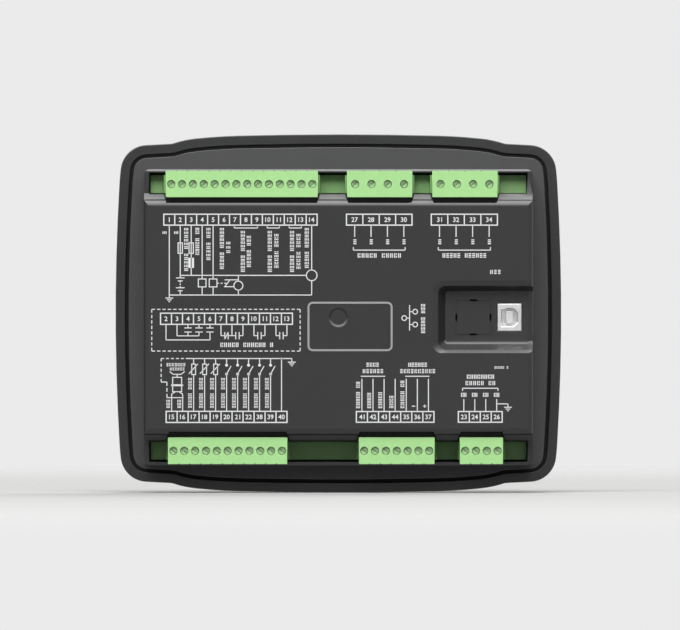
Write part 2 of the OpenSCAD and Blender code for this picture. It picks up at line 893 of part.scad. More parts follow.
// The space of the interface recess: round-cornered rings from its floor up a bevelled foot and drafted walls
module recess_space() {
  above = case_depth + over;
  past = half_w + over;
  corner_steps = 6;
  foot_w = recess_w + recess_foot;
  lip_w = case_depth - recess_lip;
  drop_w = case_depth - shoulder_drop;
  low = [
    [recess_w, recess_lo],
    [foot_w, recess_lo - recess_foot],
    [lip_w, recess_far_lo + recess_lip],
    [case_depth, recess_far_lo]
  ];
  high = [[recess_w, recess_hi], [drop_w, recess_hi + recess_top], [case_depth, recess_far_hi]];
  left = [[recess_w, recess_u], [drop_w, recess_u - recess_left], [case_depth, recess_far_u]];
  corner = [[recess_w, recess_floor_r], [case_depth, recess_r]];
  turn = [for (k = [0 : corner_steps]) 90 * k / corner_steps];
  levels = [recess_w, foot_w, lip_w, drop_w, case_depth, above];
  n = 2 + 2 * len(turn);
  points = [for (w = levels)
    let (lo = lookup(w, low), hi = lookup(w, high), u = lookup(w, left), r = lookup(w, corner))
    each concat(
      [[past, lo, w], [past, hi, w]],
      [for (a = turn) [u + r - r * sin(a), hi - r + r * cos(a), w]],
      [for (a = turn) [u + r - r * cos(a), lo + r - r * sin(a), w]]
    )];
  sides = [for (k = [0 : len(levels) - 2], i = [0 : n - 1])
    let (j = (i + 1) % n)
    [k * n + i, (k + 1) * n + i, (k + 1) * n + j, k * n + j]];
  floor_face = [for (i = [0 : n - 1]) i];
  top_face = [for (i = [n - 1 : -1 : 0]) (len(levels) - 1) * n + i];
  polyhedron(points, concat(sides, [floor_face, top_face]));
  along_v(recess_lo, recess_hi, [
    [half_w - recess_out - over, recess_w + over],
    [past, recess_w + over],
    [past, recess_w - recess_out - over]
  ]);
}

// The knock-out's scored line and slits, and the hole for the jack, in the recess floor
module recess_cuts() {
  jack_hole = [jack_w, jack_h] + 2 * foot_clear * [1, 1];
  translate([knockout_u, 0, 0]) {
    slab(recess_w - score_t, recess_w + over)
      difference() {
        square(knockout_w + score_w, center = true);
        square(knockout_w - score_w, center = true);
      }
    slab(recess_w - recess_floor - over, recess_w + over)
      for (a = [0 : 90 : 270])
        rotate(a)
          translate([knockout_w / 2, 0])
            square([slit_w, slit_len], center = true);
  }
  block([jack_u, 0], jack_hole, recess_w - recess_floor - over, recess_w + over);
}

// The notch that a plug needs in the step, wider on the ledge than on the back
module notch(p) {
  half = plug_len(p) / 2;
  slab(ledge_d, case_depth + over)
    polygon([
      [p[0] - half - notch_more, ledge_in],
      [p[0] - half + notch_less, step_face - notch_t],
      [p[0] + half - notch_less, step_face - notch_t],
      [p[0] + half + notch_more, ledge_in]
    ]);
}

// The slot of a terminal row and the notches of its plugs
module row_cuts(row) {
  slot_h = half_h - case_wall - ledge_in;
  block([0, ledge_in + slot_h / 2], [2 * slot_half, slot_h], ledge_d - case_wall - over, ledge_d + over);
  for (p = row)
    notch(p);
}

module rear_cover() {
  main_screw_hole = shank_d + 2 * shank_clear;
  backing = [recess_far_u - recess_floor, recess_far_lo - recess_floor];
  backing_size = [half_w - backing.x, recess_far_hi - recess_far_lo + 2 * recess_floor];
  color(CASE)
    upright() {
      difference() {
        union() {
          slab(-flange_t, -flange_step)
            outline_shape(flange_edge);
          slab(-flange_t, 0)
            outline_shape(flange_edge + flange_step_w);
          at_tabs()
            snap_tab(tab_len);
          at_case()
            case_outside();
        }
        at_case() {
          difference() {
            case_hollow();
            translate([backing.x, backing.y, recess_w - recess_floor])
              cube([backing_size.x, backing_size.y, case_depth]);
            for (x = [-1, 1], y = [-1, 1])
              peg([x * boss_u, y * main_boss_v], boss_d, main_back, case_depth);
          }
          recess_space();
          recess_cuts();
          row_cuts(UPPER);
          mirror([0, 1, 0])
            row_cuts(LOWER);
          translate([0, 0, case_depth - dimple_t])
            cylinder(d1 = dimple_d - 2 * dimple_t, d2 = dimple_d + 2 * over, h = dimple_t + over);
          for (x = [-1, 1], y = [-1, 1])
            translate([x * half_w, y * clip_v, clip_w])
              cube([2 * case_wall + over, clip_len, clip_h], center = true);
          for (x = [-1, 1], y = [-1, 1])
            peg([x * boss_u, y * main_boss_v], main_screw_hole, main_back - over,
              main_back + thread_len + shank_clear);
        }
      }
    }
}

module case_seal() {
  color("black")
    upright()
      slab(-flange_t, -seal_sink)
        difference() {
          outline_shape(seal_out);
          outline_shape(flange_edge);
        }
}

module main_board() {
  inner = [case_w, case_h] - 2 * (case_wall + board_clear / 2) * [1, 1];
  color(BOARD)
    upright()
      difference() {
        block([0, case_v], inner, main_front, main_back);
        for (p = main_posts)
          peg(p, shank_d + 2 * shank_clear, main_front - over, main_back + over);
      }
}

module main_screws() {
  color(STEEL)
    upright()
      for (p = main_posts)
        board_screw(p, main_front, true);
}

module board_link() {
  color(BLACK)
    upright()
      block([0, case_v - board_link_drop], [board_link_len, link_t], display_back, main_front);
}

// A header: a low strip with a walled pocket for each plug and a hole for each pin
module header(row) {
  difference() {
    union() {
      block([0, 0], [2 * (slot_half - header_play), header_w], main_back, main_back + header_low);
      for (p = row)
        block([p[0], 0], [plug_len(p) + 2 * header_end, header_w], main_back, header_top);
    }
    for (p = row)
      block([p[0], 0], [plug_len(p), foot_w + 2 * foot_clear], main_back + header_floor, header_top + over);
    for (u = row_poles(row))
      block([u, 0], [pin_w, pin_w], main_back - over, header_top);
  }
}

module upper_header() {
  color(GREEN)
    upright()
      row_at(true)
        header(UPPER);
}

module lower_header() {
  color(GREEN)
    upright()
      row_at(false)
        header(LOWER);
}

// The pins of a row, from the board up into the plugs
module pins(row) {
  for (u = row_poles(row))
    block([u, 0], [pin_w, pin_w], main_back, header_top - pin_tip);
}

module upper_pins() {
  color(STEEL)
    upright()
      row_at(true)
        pins(UPPER);
}

module lower_pins() {
  color(STEEL)
    upright()
      row_at(false)
        pins(LOWER);
}

// A plug: a body over the ledge, a foot in the header, and a well, a wire entry and a pin socket per pole
module plug(p) {
  socket = pin_w + 2 * foot_clear;
  out = plug_w / 2;
  difference() {
    union() {
      block([p[0], 0], [plug_len(p), plug_w], ledge_d + plug_gap, plug_face);
      block([p[0], 0], [plug_len(p) - 2 * foot_clear, foot_w], plug_foot_w, ledge_d + plug_gap);
    }
    for (u = pole_u(p)) {
      peg([u, 0], well_d, entry_back - clamp_gap, plug_face + over);
      block([u, out - entry_t / 2 + over / 2], [entry_w, entry_t + over], entry_back - entry_h, entry_back);
      block([u, 0], [socket, socket], plug_foot_w - over, header_top);
    }
    for (i = [1 : p[1] - 1])
      block([p[0] + (i - p[1] / 2) * p[2], out], [groove_w, 2 * groove_t], ledge_d, plug_face + over);
  }
}

module plug_outputs() {
  color(GREEN)
    upright()
      row_at(true)
        plug(UPPER[0]);
}

module plug_gens_voltage() {
  color(GREEN)
    upright()
      row_at(true)
        plug(UPPER[1]);
}

module plug_mains_voltage() {
  color(GREEN)
    upright()
      row_at(true)
        plug(UPPER[2]);
}

module plug_inputs() {
  color(GREEN)
    upright()
      row_at(false)
        plug(LOWER[0]);
}

module plug_data() {
  color(GREEN)
    upright()
      row_at(false)
        plug(LOWER[1]);
}

module plug_currents() {
  color(GREEN)
    upright()
      row_at(false)
        plug(LOWER[2]);
}

// The terminal screws of a row, standing on their clamps in the wells
module terminal_screws(row) {
  top = plug_face - screw_sink;
  for (u = row_poles(row))
    difference() {
      peg([u, 0], screw_d, top - screw_len - clamp_gap, top);
      translate([u, 0, top])
        rotate(driver_turn)
          cube([screw_d + over, driver_w, 2 * driver_t], center = true);
    }
}

module upper_screws() {
  color(STEEL)
    upright()
      row_at(true)
        terminal_screws(UPPER);
}

module lower_screws() {
  color(STEEL)
    upright()
      row_at(false)
        terminal_screws(LOWER);
}

// The wire clamps of a row: open frames under the screws, in the wire entries
module wire_clamps(row) {
  w1 = entry_back - clamp_gap;
  w0 = entry_back - entry_h + clamp_gap;
  wide = entry_w - 2 * clamp_gap;
  for (u = row_poles(row))
    difference() {
      block([u, 0], [wide, clamp_len], w0, w1);
      block([u, 0], [wide - 2 * clamp_t, clamp_len + over], w0 + clamp_t, w1 - clamp_t);
    }
}

module upper_clamps() {
  color(STEEL)
    upright()
      row_at(true)
        wire_clamps(UPPER);
}

module lower_clamps() {
  color(STEEL)
    upright()
      row_at(false)
        wire_clamps(LOWER);
}

// The port's outline: a rectangle with two corners clipped on its right
module port_shape() {
  x = port_w / 2;
  y = port_h / 2;
  polygon([
    [-x, -y],
    [x - port_clip, -y],
    [x, port_clip - y],
    [x, y - port_clip],
    [x - port_clip, y],
    [-x, y]
  ]);
}

module data_jack() {
  color([0.85, 0.86, 0.87])
    upright()
      at_case()
        difference() {
          block([jack_u, 0], [jack_w, jack_h], riser_back, recess_w);
          translate([jack_u, 0, 0])
            slab(recess_w - port_depth, recess_w + over)
              port_shape();
        }
}

module jack_tongue() {
  color("white")
    upright()
      at_case()
        block([jack_u, 0], [tongue_w, tongue_h], recess_w - port_depth, recess_w - tongue_sink);
}

riser_w = half_w - case_wall - board_clear - recess_u;
riser_u = recess_u + riser_w / 2;

module riser_board() {
  color(BOARD)
    upright()
      at_case()
        block([riser_u, recess_v], [riser_w, recess_h + riser_margin], riser_front, riser_back);
}

module riser_link() {
  color(BLACK)
    upright()
      at_case()
        for (y = [-1, 1])
          block([riser_u, recess_v + y * recess_h / 2], [riser_link_len, link_t], main_back, riser_front);
}

module relays() {
  relay_v = in_step - relay_gap - relay_len / 2;
  half = relay_len / 2;
  top = main_back + relay_h;
  color([0.1, 0.1, 0.12])
    upright()
      at_case()
        for (i = [0 : relay_count - 1])
          translate([output_u + (i - (relay_count - 1) / 2) * relay_pitch, relay_v, 0])
            intersection() {
              slab(main_back, top)
                round_rect(relay_w, relay_len, relay_edge / 2);
              along_u(-relay_w / 2, relay_w / 2, [
                [-half, main_back],
                [-half, top - relay_edge],
                [relay_edge - half, top],
                [half - relay_edge, top],
                [half, top - relay_edge],
                [half, main_back]
              ]);
            }
}

module current_transformers() {
  phases = [-1, 0, 1];
  r0 = transformer_bore / 2;
  r1 = transformer_d / 2;
  pitch = transformer_d + transformer_gap;
  color([0.15, 0.2, 0.45])
    upright()
      at_case()
        for (i = phases)
          translate([data_u + i * pitch, -step_face / 2 - transformer_d / 2, main_back])
            rotate_extrude()
              polygon([
                [r0, 0],
                [r1, 0],
                [r1, transformer_h - transformer_edge],
                [r1 - transformer_edge, transformer_h],
                [r0, transformer_h]
              ]);
}

module capacitors() {
  r = capacitor_d / 2;
  edge = capacitor_edge;
  color([0.1, 0.12, 0.2])
    upright()
      at_case()
        for (i = [0, 1])
          translate([output_u + i * capacitor_pitch, 0, main_back])
            rotate_extrude()
              polygon([
                [0, 0],
                [r, 0],
                [r, capacitor_crimp - edge],
                [r - edge / 2, capacitor_crimp],
                [r, capacitor_crimp + edge],
                [r, capacitor_h - edge],
                [r - edge, capacitor_h],
                [0, capacitor_h]
              ]);
}

module processor() {
  color("black")
    upright()
      at_case()
        block([0, 0], [processor_w, processor_w], main_back, main_back + processor_t);
}

front_bezel();
front_fascia();
display_lens();
lcd_module();
display_board();
display_screws();
status_lights();
key_switches();
key_stop();
key_manual();
key_test();
key_auto();
key_start();
key_up();
key_confirm();
key_down();
rear_cover();
case_seal();
main_board();
main_screws();
board_link();
upper_header();
lower_header();
upper_pins();
lower_pins();
plug_outputs();
plug_gens_voltage();
plug_mains_voltage();
plug_inputs();
plug_data();
plug_currents();
upper_screws();
lower_screws();
upper_clamps();
lower_clamps();
data_jack();
jack_tongue();
riser_board();
riser_link();
relays();
current_transformers();
capacitors();
processor();
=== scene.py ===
"""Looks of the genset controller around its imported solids: soft edges, finishes, print and a stage."""
import math
from collections import namedtuple

import bmesh
import bpy
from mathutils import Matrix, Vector


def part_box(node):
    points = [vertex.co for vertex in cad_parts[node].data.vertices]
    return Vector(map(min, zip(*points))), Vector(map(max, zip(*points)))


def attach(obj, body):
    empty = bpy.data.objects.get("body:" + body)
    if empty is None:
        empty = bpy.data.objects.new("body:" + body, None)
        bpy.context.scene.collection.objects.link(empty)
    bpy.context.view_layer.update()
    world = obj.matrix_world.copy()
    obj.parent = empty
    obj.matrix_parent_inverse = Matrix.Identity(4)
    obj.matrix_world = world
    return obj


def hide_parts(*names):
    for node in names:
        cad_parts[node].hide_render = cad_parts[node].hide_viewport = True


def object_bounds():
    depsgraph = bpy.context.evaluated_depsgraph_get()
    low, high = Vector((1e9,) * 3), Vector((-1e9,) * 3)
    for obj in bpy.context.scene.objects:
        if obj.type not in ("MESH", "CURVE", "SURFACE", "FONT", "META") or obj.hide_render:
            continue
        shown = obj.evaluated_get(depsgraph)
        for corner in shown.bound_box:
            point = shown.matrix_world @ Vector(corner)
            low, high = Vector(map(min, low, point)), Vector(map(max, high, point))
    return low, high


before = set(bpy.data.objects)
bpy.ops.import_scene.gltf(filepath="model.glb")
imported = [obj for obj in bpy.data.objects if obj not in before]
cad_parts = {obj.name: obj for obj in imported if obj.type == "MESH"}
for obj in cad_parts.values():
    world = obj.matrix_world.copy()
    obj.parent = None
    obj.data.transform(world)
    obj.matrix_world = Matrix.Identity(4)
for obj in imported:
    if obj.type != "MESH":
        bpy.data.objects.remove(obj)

bl_info = {
    "name": "Genset controller looks",
    "version": (1, 0, 0),
    "blender": (4, 5, 0),
    "location": "View3D > Sidebar > Controller",
    "description": "Soft-edged pieces, finishes, rear print and a studio stage for a genset controller",
    "category": "Object",
}

CAD_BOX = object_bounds()
MM = 0.001
HOUSING = "housing"

# The photograph's frame: its size, the pixel of the unit's middle and the scale at the case
IMAGE_PX = (680, 630)
MIDDLE_PX = (338.4, 313.4)
PX_PER_MM = 2.134

ROW_KEYS = ("key_stop", "key_manual", "key_test", "key_auto", "key_start")
MENU_KEYS = ("key_up", "key_confirm", "key_down")
UPPER_PLUGS = ("plug_outputs", "plug_gens_voltage", "plug_mains_voltage")
LOWER_PLUGS = ("plug_inputs", "plug_data", "plug_currents")


def case_point(u, v, w):
    """A place in metres from case coordinates in millimetres: seen from the rear, u right, v up, w near."""
    return Vector((u, -w, v)) * MM


BACK_W = -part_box("rear_cover")[0].y / MM
FASCIA_W = -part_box("front_fascia")[1].y / MM


def colour(name, description, default):
    """A colour that a user may change."""
    return bpy.props.FloatVectorProperty(
        name=name, description=description, subtype="COLOR", size=3, min=0.0, max=1.0, default=default)


def length(name, description, default_mm):
    """A length that a user may change, given in millimetres."""
    return bpy.props.FloatProperty(
        name=name, description=description, unit="LENGTH", min=0.0, precision=5, default=default_mm * MM)


def power(name, description, default):
    """A lamp's power that a user may change."""
    return bpy.props.FloatProperty(
        name=name, description=description, subtype="POWER", min=0.0, default=default)


def strength(name, description, default):
    """A light's strength that a user may change."""
    return bpy.props.FloatProperty(name=name, description=description, min=0.0, default=default)


class ControllerColours(bpy.types.PropertyGroup):
    """Colours of the finishes."""
    case: colour("Case", "Grained plastic of the case and the bezel", (0.021, 0.021, 0.022))
    # The flange's lighter tone is painted light: the case's dark plastic lightened for the light on its face;
    # its coarser grain is its own
    flange: colour("Flange", "Coarser plastic of the case's flange", (0.05, 0.05, 0.051))
    seal: colour("Seal", "Rubber between the bezel and the case", (0.008, 0.008, 0.008))
    plug: colour("Plugs", "Plastic of the plugs", (0.42, 0.75, 0.31))
    # The headers' green is the plugs' green darkened as painted shade, for the shade that falls on them deep
    # in the slots
    header: colour("Headers", "Plastic of the headers in the slots", (0.23, 0.41, 0.17))
    # The screws' green tint is painted reflection: zinc coloured with the green of the plugs round them
    screw: colour("Screws", "Zinc of the terminal screws", (0.36, 0.53, 0.29))
    steel: colour("Steel", "Board screws and clamps", (0.60, 0.60, 0.58))
    contact: colour("Contacts", "Tinned pins", (0.72, 0.68, 0.55))
    jack: colour("Jack", "Shell of the data jack", (0.96, 0.96, 0.96))
    tongue: colour("Tongue", "Plastic in the data jack", (0.70, 0.70, 0.69))
    print_white: colour("Print", "White print on the case", (0.84, 0.84, 0.84))
    print_grey: colour("Outline", "Grey outline on the case", (0.36, 0.36, 0.36))
    fascia: colour("Fascia", "Printed film of the front", (0.022, 0.023, 0.025))
    lcd: colour("Display", "Unlit display", (0.13, 0.15, 0.115))
    light: colour("Lights", "Tinted status lights", (0.75, 0.52, 0.12))
    key_red: colour("Stop key", "Soft plastic of the stop key", (0.42, 0.025, 0.025))
    key_green: colour("Start key", "Soft plastic of the start key", (0.03, 0.26, 0.07))
    key_grey: colour("Other keys", "Soft plastic of the other keys", (0.13, 0.13, 0.14))
    board: colour("Boards", "Solder mask of the circuit boards", (0.02, 0.16, 0.07))
    window: colour("Window", "Clear plastic over the display", (0.92, 0.94, 0.94))
    fascia_line: colour("Fascia lines", "Print on the fascia", (0.5, 0.5, 0.5))
    black: colour("Black plastic", "Switches, relays and connectors", (0.025, 0.025, 0.026))
    potting: colour("Potting", "Current transformers", (0.05, 0.08, 0.25))
    sleeve: colour("Sleeve", "Capacitors", (0.04, 0.05, 0.11))


class ControllerEdges(bpy.types.PropertyGroup):
    """Rounding of the pieces' edges."""
    case: length("Case", "Rounding of the case's edges", 0.3)
    bezel: length("Bezel", "Rounding of the bezel's edges", 0.4)
    seal: length("Seal", "Rounding of the seal's edges", 0.4)
    plug: length("Plugs", "Rounding of the plugs' and headers' edges", 0.18)
    screw: length("Screws", "Rounding of the screws' edges", 0.15)
    jack: length("Jack", "Rounding of the data jack's edges", 0.25)
    key: length("Keys", "Rounding of the keys' edges", 0.3)


class ControllerPrint(bpy.types.PropertyGroup):
    """Sizes of the print."""
    line: length("Line", "Width of a drawn line", 0.45)
    border: length("Border", "Width of the lines round the numbers", 0.55)
    outline: length("Outline", "Width of the grey outline", 0.9)
    numeral: length("Numeral", "Height of a terminal number", 2.25)
    word: length("Word", "Height of a line of small marks", 1.9)
    rise: length("Rise", "Thickness of the ink", 0.02)
    sink: length("Sink", "How deep the ink is keyed into the face", 0.05)


class ControllerStage(bpy.types.PropertyGroup):
    """Camera, lamps and floor."""
    camera_far: length("Camera", "Distance of the camera from the case", 12000)
    floor_r: length("Floor", "Radius of the floor", 2600)
    fill_w: length("Fill width", "Side of a fill lamp", 3600)
    fill_far: length("Fill distance", "Distance of a fill lamp", 5500)
    rear_power: power("Rear fill", "Power of the fill lamp on the terminals' side", 420.0)
    front_power: power("Front fill", "Power of the fill lamp on the display's side", 280.0)
    floor_tone: colour("Floor tone", "Colour of the floor", (0.5, 0.5, 0.495))
    sky_tone: colour("Background", "Colour behind the object", (0.83, 0.83, 0.83))
    sky_top: strength("Overhead", "Strength of the reflected light from above", 9.5)
    sky_side: strength("Level", "Strength of the reflected light from the sides", 0.4)
    sky_right: strength("Right", "Strength of the reflected light from the right", 0.9)
    sky_floor: strength("Below", "Strength of the reflected light from below", 1.0)
    sky_light: bpy.props.FloatProperty(
        name="Ambient", description="Strength of the light from all sides", subtype="FACTOR",
        min=0.0, max=1.0, default=0.18)


# Nodes and finishes

def place(tree, kind, values=None, **properties):
    """Adds a shader node, with its properties and the values of its sockets."""
    made = tree.nodes.new(kind)
    for key, value in properties.items():
        setattr(made, key, value)
    for key, value in (values or {}).items():
        made.inputs[key].default_value = value
    return made


def join(tree, source, output, target, socket):
    """Links one node's output to another's input."""
    tree.links.new(source.outputs[output], target.inputs[socket])


def sockets(tree, inputs, outputs):
    """Gives a node group its named sockets, and returns its two ends."""
    for side, wanted in (("INPUT", inputs), ("OUTPUT", outputs)):
        for name, kind, *start in wanted:
            made = tree.interface.new_socket(name, in_out=side, socket_type="NodeSocket" + kind)
            if start:
                made.default_value = start[0]
    return tree.nodes.new("NodeGroupInput"), tree.nodes.new("NodeGroupOutput")


def spread_about(tree, noise, middle_node, middle, amount_node, amount):
    """A value that a noise moves up and down by an amount about a middle."""
    centred = place(tree, "ShaderNodeMath", {1: 0.5}, operation="SUBTRACT")
    join(tree, noise, "Fac", centred, 0)
    scaled = place(tree, "ShaderNodeMath", operation="MULTIPLY")
    join(tree, centred, 0, scaled, 0)
    join(tree, amount_node, amount, scaled, 1)
    if middle_node is None:
        total = place(tree, "ShaderNodeMath", {1: middle}, operation="ADD")
    else:
        total = place(tree, "ShaderNodeMath", operation="ADD")
        join(tree, middle_node, middle, total, 1)
    join(tree, scaled, 0, total, 0)
    return total


def shaded_colour(tree, ends, factor):
    """The group's colour, made lighter and darker by a factor."""
    mix = place(tree, "ShaderNodeMix", {"Factor": 1.0}, data_type="RGBA", blend_type="MULTIPLY")
    tree.links.new(ends.outputs["Colour"], mix.inputs["A"])
    tree.links.new(factor.outputs[0], mix.inputs["B"])
    return mix


def surface_group(name, stretch, cloud_scale):
    """A shader group for a surface: clouded colour, uneven roughness and fine grain, drawn out by stretch."""
    if name in bpy.data.node_groups:
        return bpy.data.node_groups[name]
    tree = bpy.data.node_groups.new(name, "ShaderNodeTree")
    start, end = sockets(
        tree,
        [("Colour", "Color", (0.5, 0.5, 0.5, 1.0)), ("Mottle", "Float", 0.1), ("Roughness", "Float", 0.5),
         ("Spread", "Float", 0.1), ("Grain per metre", "Float", 2000.0)],
        [("Colour", "Color"), ("Roughness", "Float"), ("Height", "Float")])
    coords = place(tree, "ShaderNodeTexCoord")
    mapping = place(tree, "ShaderNodeMapping", {"Scale": stretch})
    join(tree, coords, "Object", mapping, "Vector")
    cloud = place(tree, "ShaderNodeTexNoise", {"Scale": cloud_scale, "Detail": 3.0})
    join(tree, coords, "Object", cloud, "Vector")
    grain = place(tree, "ShaderNodeTexNoise", {"Detail": 2.0, "Roughness": 0.6})
    join(tree, mapping, "Vector", grain, "Vector")
    join(tree, start, "Grain per metre", grain, "Scale")
    factor = spread_about(tree, cloud, None, 1.0, start, "Mottle")
    mix = shaded_colour(tree, start, factor)
    rough = spread_about(tree, grain, start, "Roughness", start, "Spread")
    tree.links.new(mix.outputs["Result"], end.inputs["Colour"])
    join(tree, rough, 0, end, "Roughness")
    join(tree, grain, "Fac", end, "Height")
    return tree


def moulded_grain():
    """Spark-eroded grain of moulded plastic."""
    return surface_group("Moulded grain", stretch=(1.0, 1.0, 1.0), cloud_scale=60.0)


def drawn_metal():
    """Fine drawn lines of plated metal."""
    return surface_group("Drawn metal", stretch=(1.0, 1.0, 0.12), cloud_scale=300.0)


Finish = namedtuple("Finish", "group tone mottle rough spread grain bump")
# Depth of a surface's grain where its bump is one
GRAIN_T = 0.05 * MM


def make_finish(name, finish, **constants):
    """A material from one of the surface groups, with constant values on the shader's own sockets."""
    material = bpy.data.materials.new(name)
    material.use_nodes = True
    tree = material.node_tree
    tree.nodes.clear()
    shader = place(tree, "ShaderNodeBsdfPrincipled")
    for socket, value in constants.items():
        shader.inputs[socket.replace("_", " ")].default_value = value
    output = place(tree, "ShaderNodeOutputMaterial")
    join(tree, shader, "BSDF", output, "Surface")
    surface = place(tree, "ShaderNodeGroup", node_tree=finish.group)
    surface.inputs["Colour"].default_value = (*finish.tone, 1.0)
    surface.inputs["Mottle"].default_value = finish.mottle
    surface.inputs["Roughness"].default_value = finish.rough
    surface.inputs["Spread"].default_value = finish.spread
    surface.inputs["Grain per metre"].default_value = finish.grain
    join(tree, surface, "Colour", shader, "Base Color")
    join(tree, surface, "Roughness", shader, "Roughness")
    bump = place(tree, "ShaderNodeBump", {"Strength": finish.bump, "Distance": GRAIN_T})
    join(tree, surface, "Height", bump, "Height")
    join(tree, bump, "Normal", shader, "Normal")
    return material


def plastic(name, tone, rough=0.45, grain=2600.0, bump=0.25, mottle=0.12, **constants):
    """A grained plastic."""
    finish = Finish(moulded_grain(), tone, mottle, rough, spread=0.12, grain=grain, bump=bump)
    return make_finish(name, finish, **constants)


def metal(name, tone, rough=0.3, grain=5000.0, bump=0.15, shine=1.0):
    """A plated metal, dull where its shine is less than one."""
    finish = Finish(drawn_metal(), tone, mottle=0.15, rough=rough, spread=0.15, grain=grain, bump=bump)
    return make_finish(name, finish, Metallic=shine)


def ink(name, tone):
    """Print ink, with the small thick and thin places of a printing pad."""
    finish = Finish(moulded_grain(), tone, mottle=0.10, rough=0.5, spread=0.15, grain=4000.0, bump=0.2)
    return make_finish(name, finish)


def glass(name, tone):
    """A clear window with faint wipe marks."""
    finish = Finish(moulded_grain(), tone, mottle=0.03, rough=0.06, spread=0.04, grain=150.0, bump=0.02)
    return make_finish(name, finish, Transmission_Weight=1.0)


# Pieces

def link(piece):
    """Puts a new object in the scene."""
    bpy.context.scene.collection.objects.link(piece)
    return piece


# Points closer than this are one, and faces that turn less than this are one
WELD = 0.001 * MM
FLAT_DEG = 0.6
# Steps of a rounded edge
EDGE_STEPS = 2
# An edge isn't rounded where an edge shorter than this meets it
CROWDED = 0.45 * MM
# The bevels along the foot and the lip of the recess lie to the right of this place and lean back and up
BEVEL_U = 40.0
BEVEL_Y = -math.sqrt(0.5)
BEVEL_Y_TOL = 0.05
BEVEL_UP = 0.3
LEVEL_TOL = 0.01 * MM
# The floor of the recess faces straight back and lies farther than this below the back
FLOOR_Y = -0.99
FLOOR_DEEP = 1.0
# Chords of a round edge run along one axis, turn between these limits and lie within this reach of the back
CHORD_TOL = 0.01
TURN_MIN = 0.03
TURN_MAX = 0.998
ROUND_REACH = 8.0
# Spacing of the cuts across such chords
ROUND_CUT = 3.1 * MM


def is_chord(face, axis, other):
    """Whether a face is a chord, along an axis, of one of the back's round edges."""
    along, turn = abs(getattr(face.normal, axis)), abs(getattr(face.normal, other))
    near_back = face.calc_center_median().y < (ROUND_REACH - BACK_W) * MM
    return along < CHORD_TOL and TURN_MIN < turn < TURN_MAX and face.normal.y < -TURN_MIN and near_back


def cut_rounds(shape):
    """Cuts the long chords of the back's round edges, so that their far ends don't change their shading."""
    low, high = CAD_BOX
    for axis, other in (("x", "z"), ("z", "x")):
        steps = int((getattr(high, axis) - getattr(low, axis)) / ROUND_CUT)
        for i in range(1, steps):
            chords = [face for face in shape.faces if is_chord(face, axis, other)]
            parts = dict.fromkeys(chords)
            for chord in chords:
                parts.update(dict.fromkeys([*chord.verts, *chord.edges]))
            at = Vector()
            setattr(at, axis, getattr(low, axis) + i * ROUND_CUT)
            across = Vector()
            setattr(across, axis, 1.0)
            bmesh.ops.bisect_plane(shape, geom=list(parts), plane_co=at, plane_no=across)


def recess_bevel(edge):
    """Whether an edge runs along a bevel at the foot or the lip of the recess."""
    start, end = (vert.co for vert in edge.verts)
    level = start.x > BEVEL_U * MM and abs(start.y - end.y) < LEVEL_TOL
    normals = [face.normal for face in edge.link_faces]
    return level and any(abs(n.y - BEVEL_Y) < BEVEL_Y_TOL and n.z > BEVEL_UP for n in normals)


def recess_foot(edge):
    """Whether an edge lies on the floor of the recess."""
    deep = edge.verts[0].co.y > (FLOOR_DEEP - BACK_W) * MM
    return deep and any(face.normal.y < FLOOR_Y for face in edge.link_faces)


def soft_mesh(node, width, angle, by_area):
    """The node's form as a new mesh: flat faces merged, edges sharper than an angle rounded, shaded smooth.

    Where the shading goes by area, large faces stay flat beside the chords of a round edge.
    """
    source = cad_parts[node].data
    mesh = bpy.data.meshes.new(node + "_soft")
    mesh.from_pydata([v.co for v in source.vertices], [], [p.vertices for p in source.polygons])
    shape = bmesh.new()
    shape.from_mesh(mesh)
    bmesh.ops.remove_doubles(shape, verts=shape.verts, dist=WELD)
    bmesh.ops.dissolve_limit(
        shape, angle_limit=math.radians(FLAT_DEG), verts=shape.verts, edges=shape.edges,
        use_dissolve_boundaries=False)
    if by_area:
        cut_rounds(shape)
    weight = shape.edges.layers.float.new("bevel_weight_edge")
    for face in shape.faces:
        face.smooth = True
    for edge in shape.edges:
        if by_area and recess_bevel(edge):
            edge.smooth = recess_foot(edge)
            continue
        if len(edge.link_faces) == 2 and edge.calc_face_angle() > math.radians(angle):
            crowded = any(near.calc_length() < CROWDED for end in edge.verts for near in end.link_edges)
            edge.smooth = not crowded
            edge[weight] = 0.0 if crowded else 1.0
    shape.to_mesh(mesh)
    shape.free()
    carrier = link(bpy.data.objects.new(node + "_carrier", mesh))
    bevel = carrier.modifiers.new("edges", "BEVEL")
    bevel.width = width
    bevel.segments = EDGE_STEPS
    bevel.limit_method = "WEIGHT"
    bevel.use_clamp_overlap = False
    bevel.harden_normals = True
    if by_area:
        carrier.modifiers.new("shading", "WEIGHTED_NORMAL").keep_sharp = True
    view = bpy.context.evaluated_depsgraph_get()
    finished = bpy.data.meshes.new_from_object(
        carrier.evaluated_get(view), preserve_all_data_layers=True, depsgraph=view)
    bpy.data.objects.remove(carrier)
    bpy.data.meshes.remove(mesh)
    finished.materials.clear()
    return finished


def dress(node, width, material, slot, body=HOUSING, angle=24.0, by_area=False):
    """A soft-edged piece that stands for a node."""
    piece = link(bpy.data.objects.new(node + "_finished", soft_mesh(node, width, angle, by_area)))
    piece.data.materials.append(material)
    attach(piece, body)
    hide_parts(node)
    return piece


def paint(node, material):
    """A finish for a node that keeps its own mesh."""
    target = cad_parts[node]
    if not target.material_slots:
        target.data.materials.append(material)
    for holder in target.material_slots:
        holder.material = material


# Print

NumberRow = namedtuple("NumberRow", "numbers left right top low")
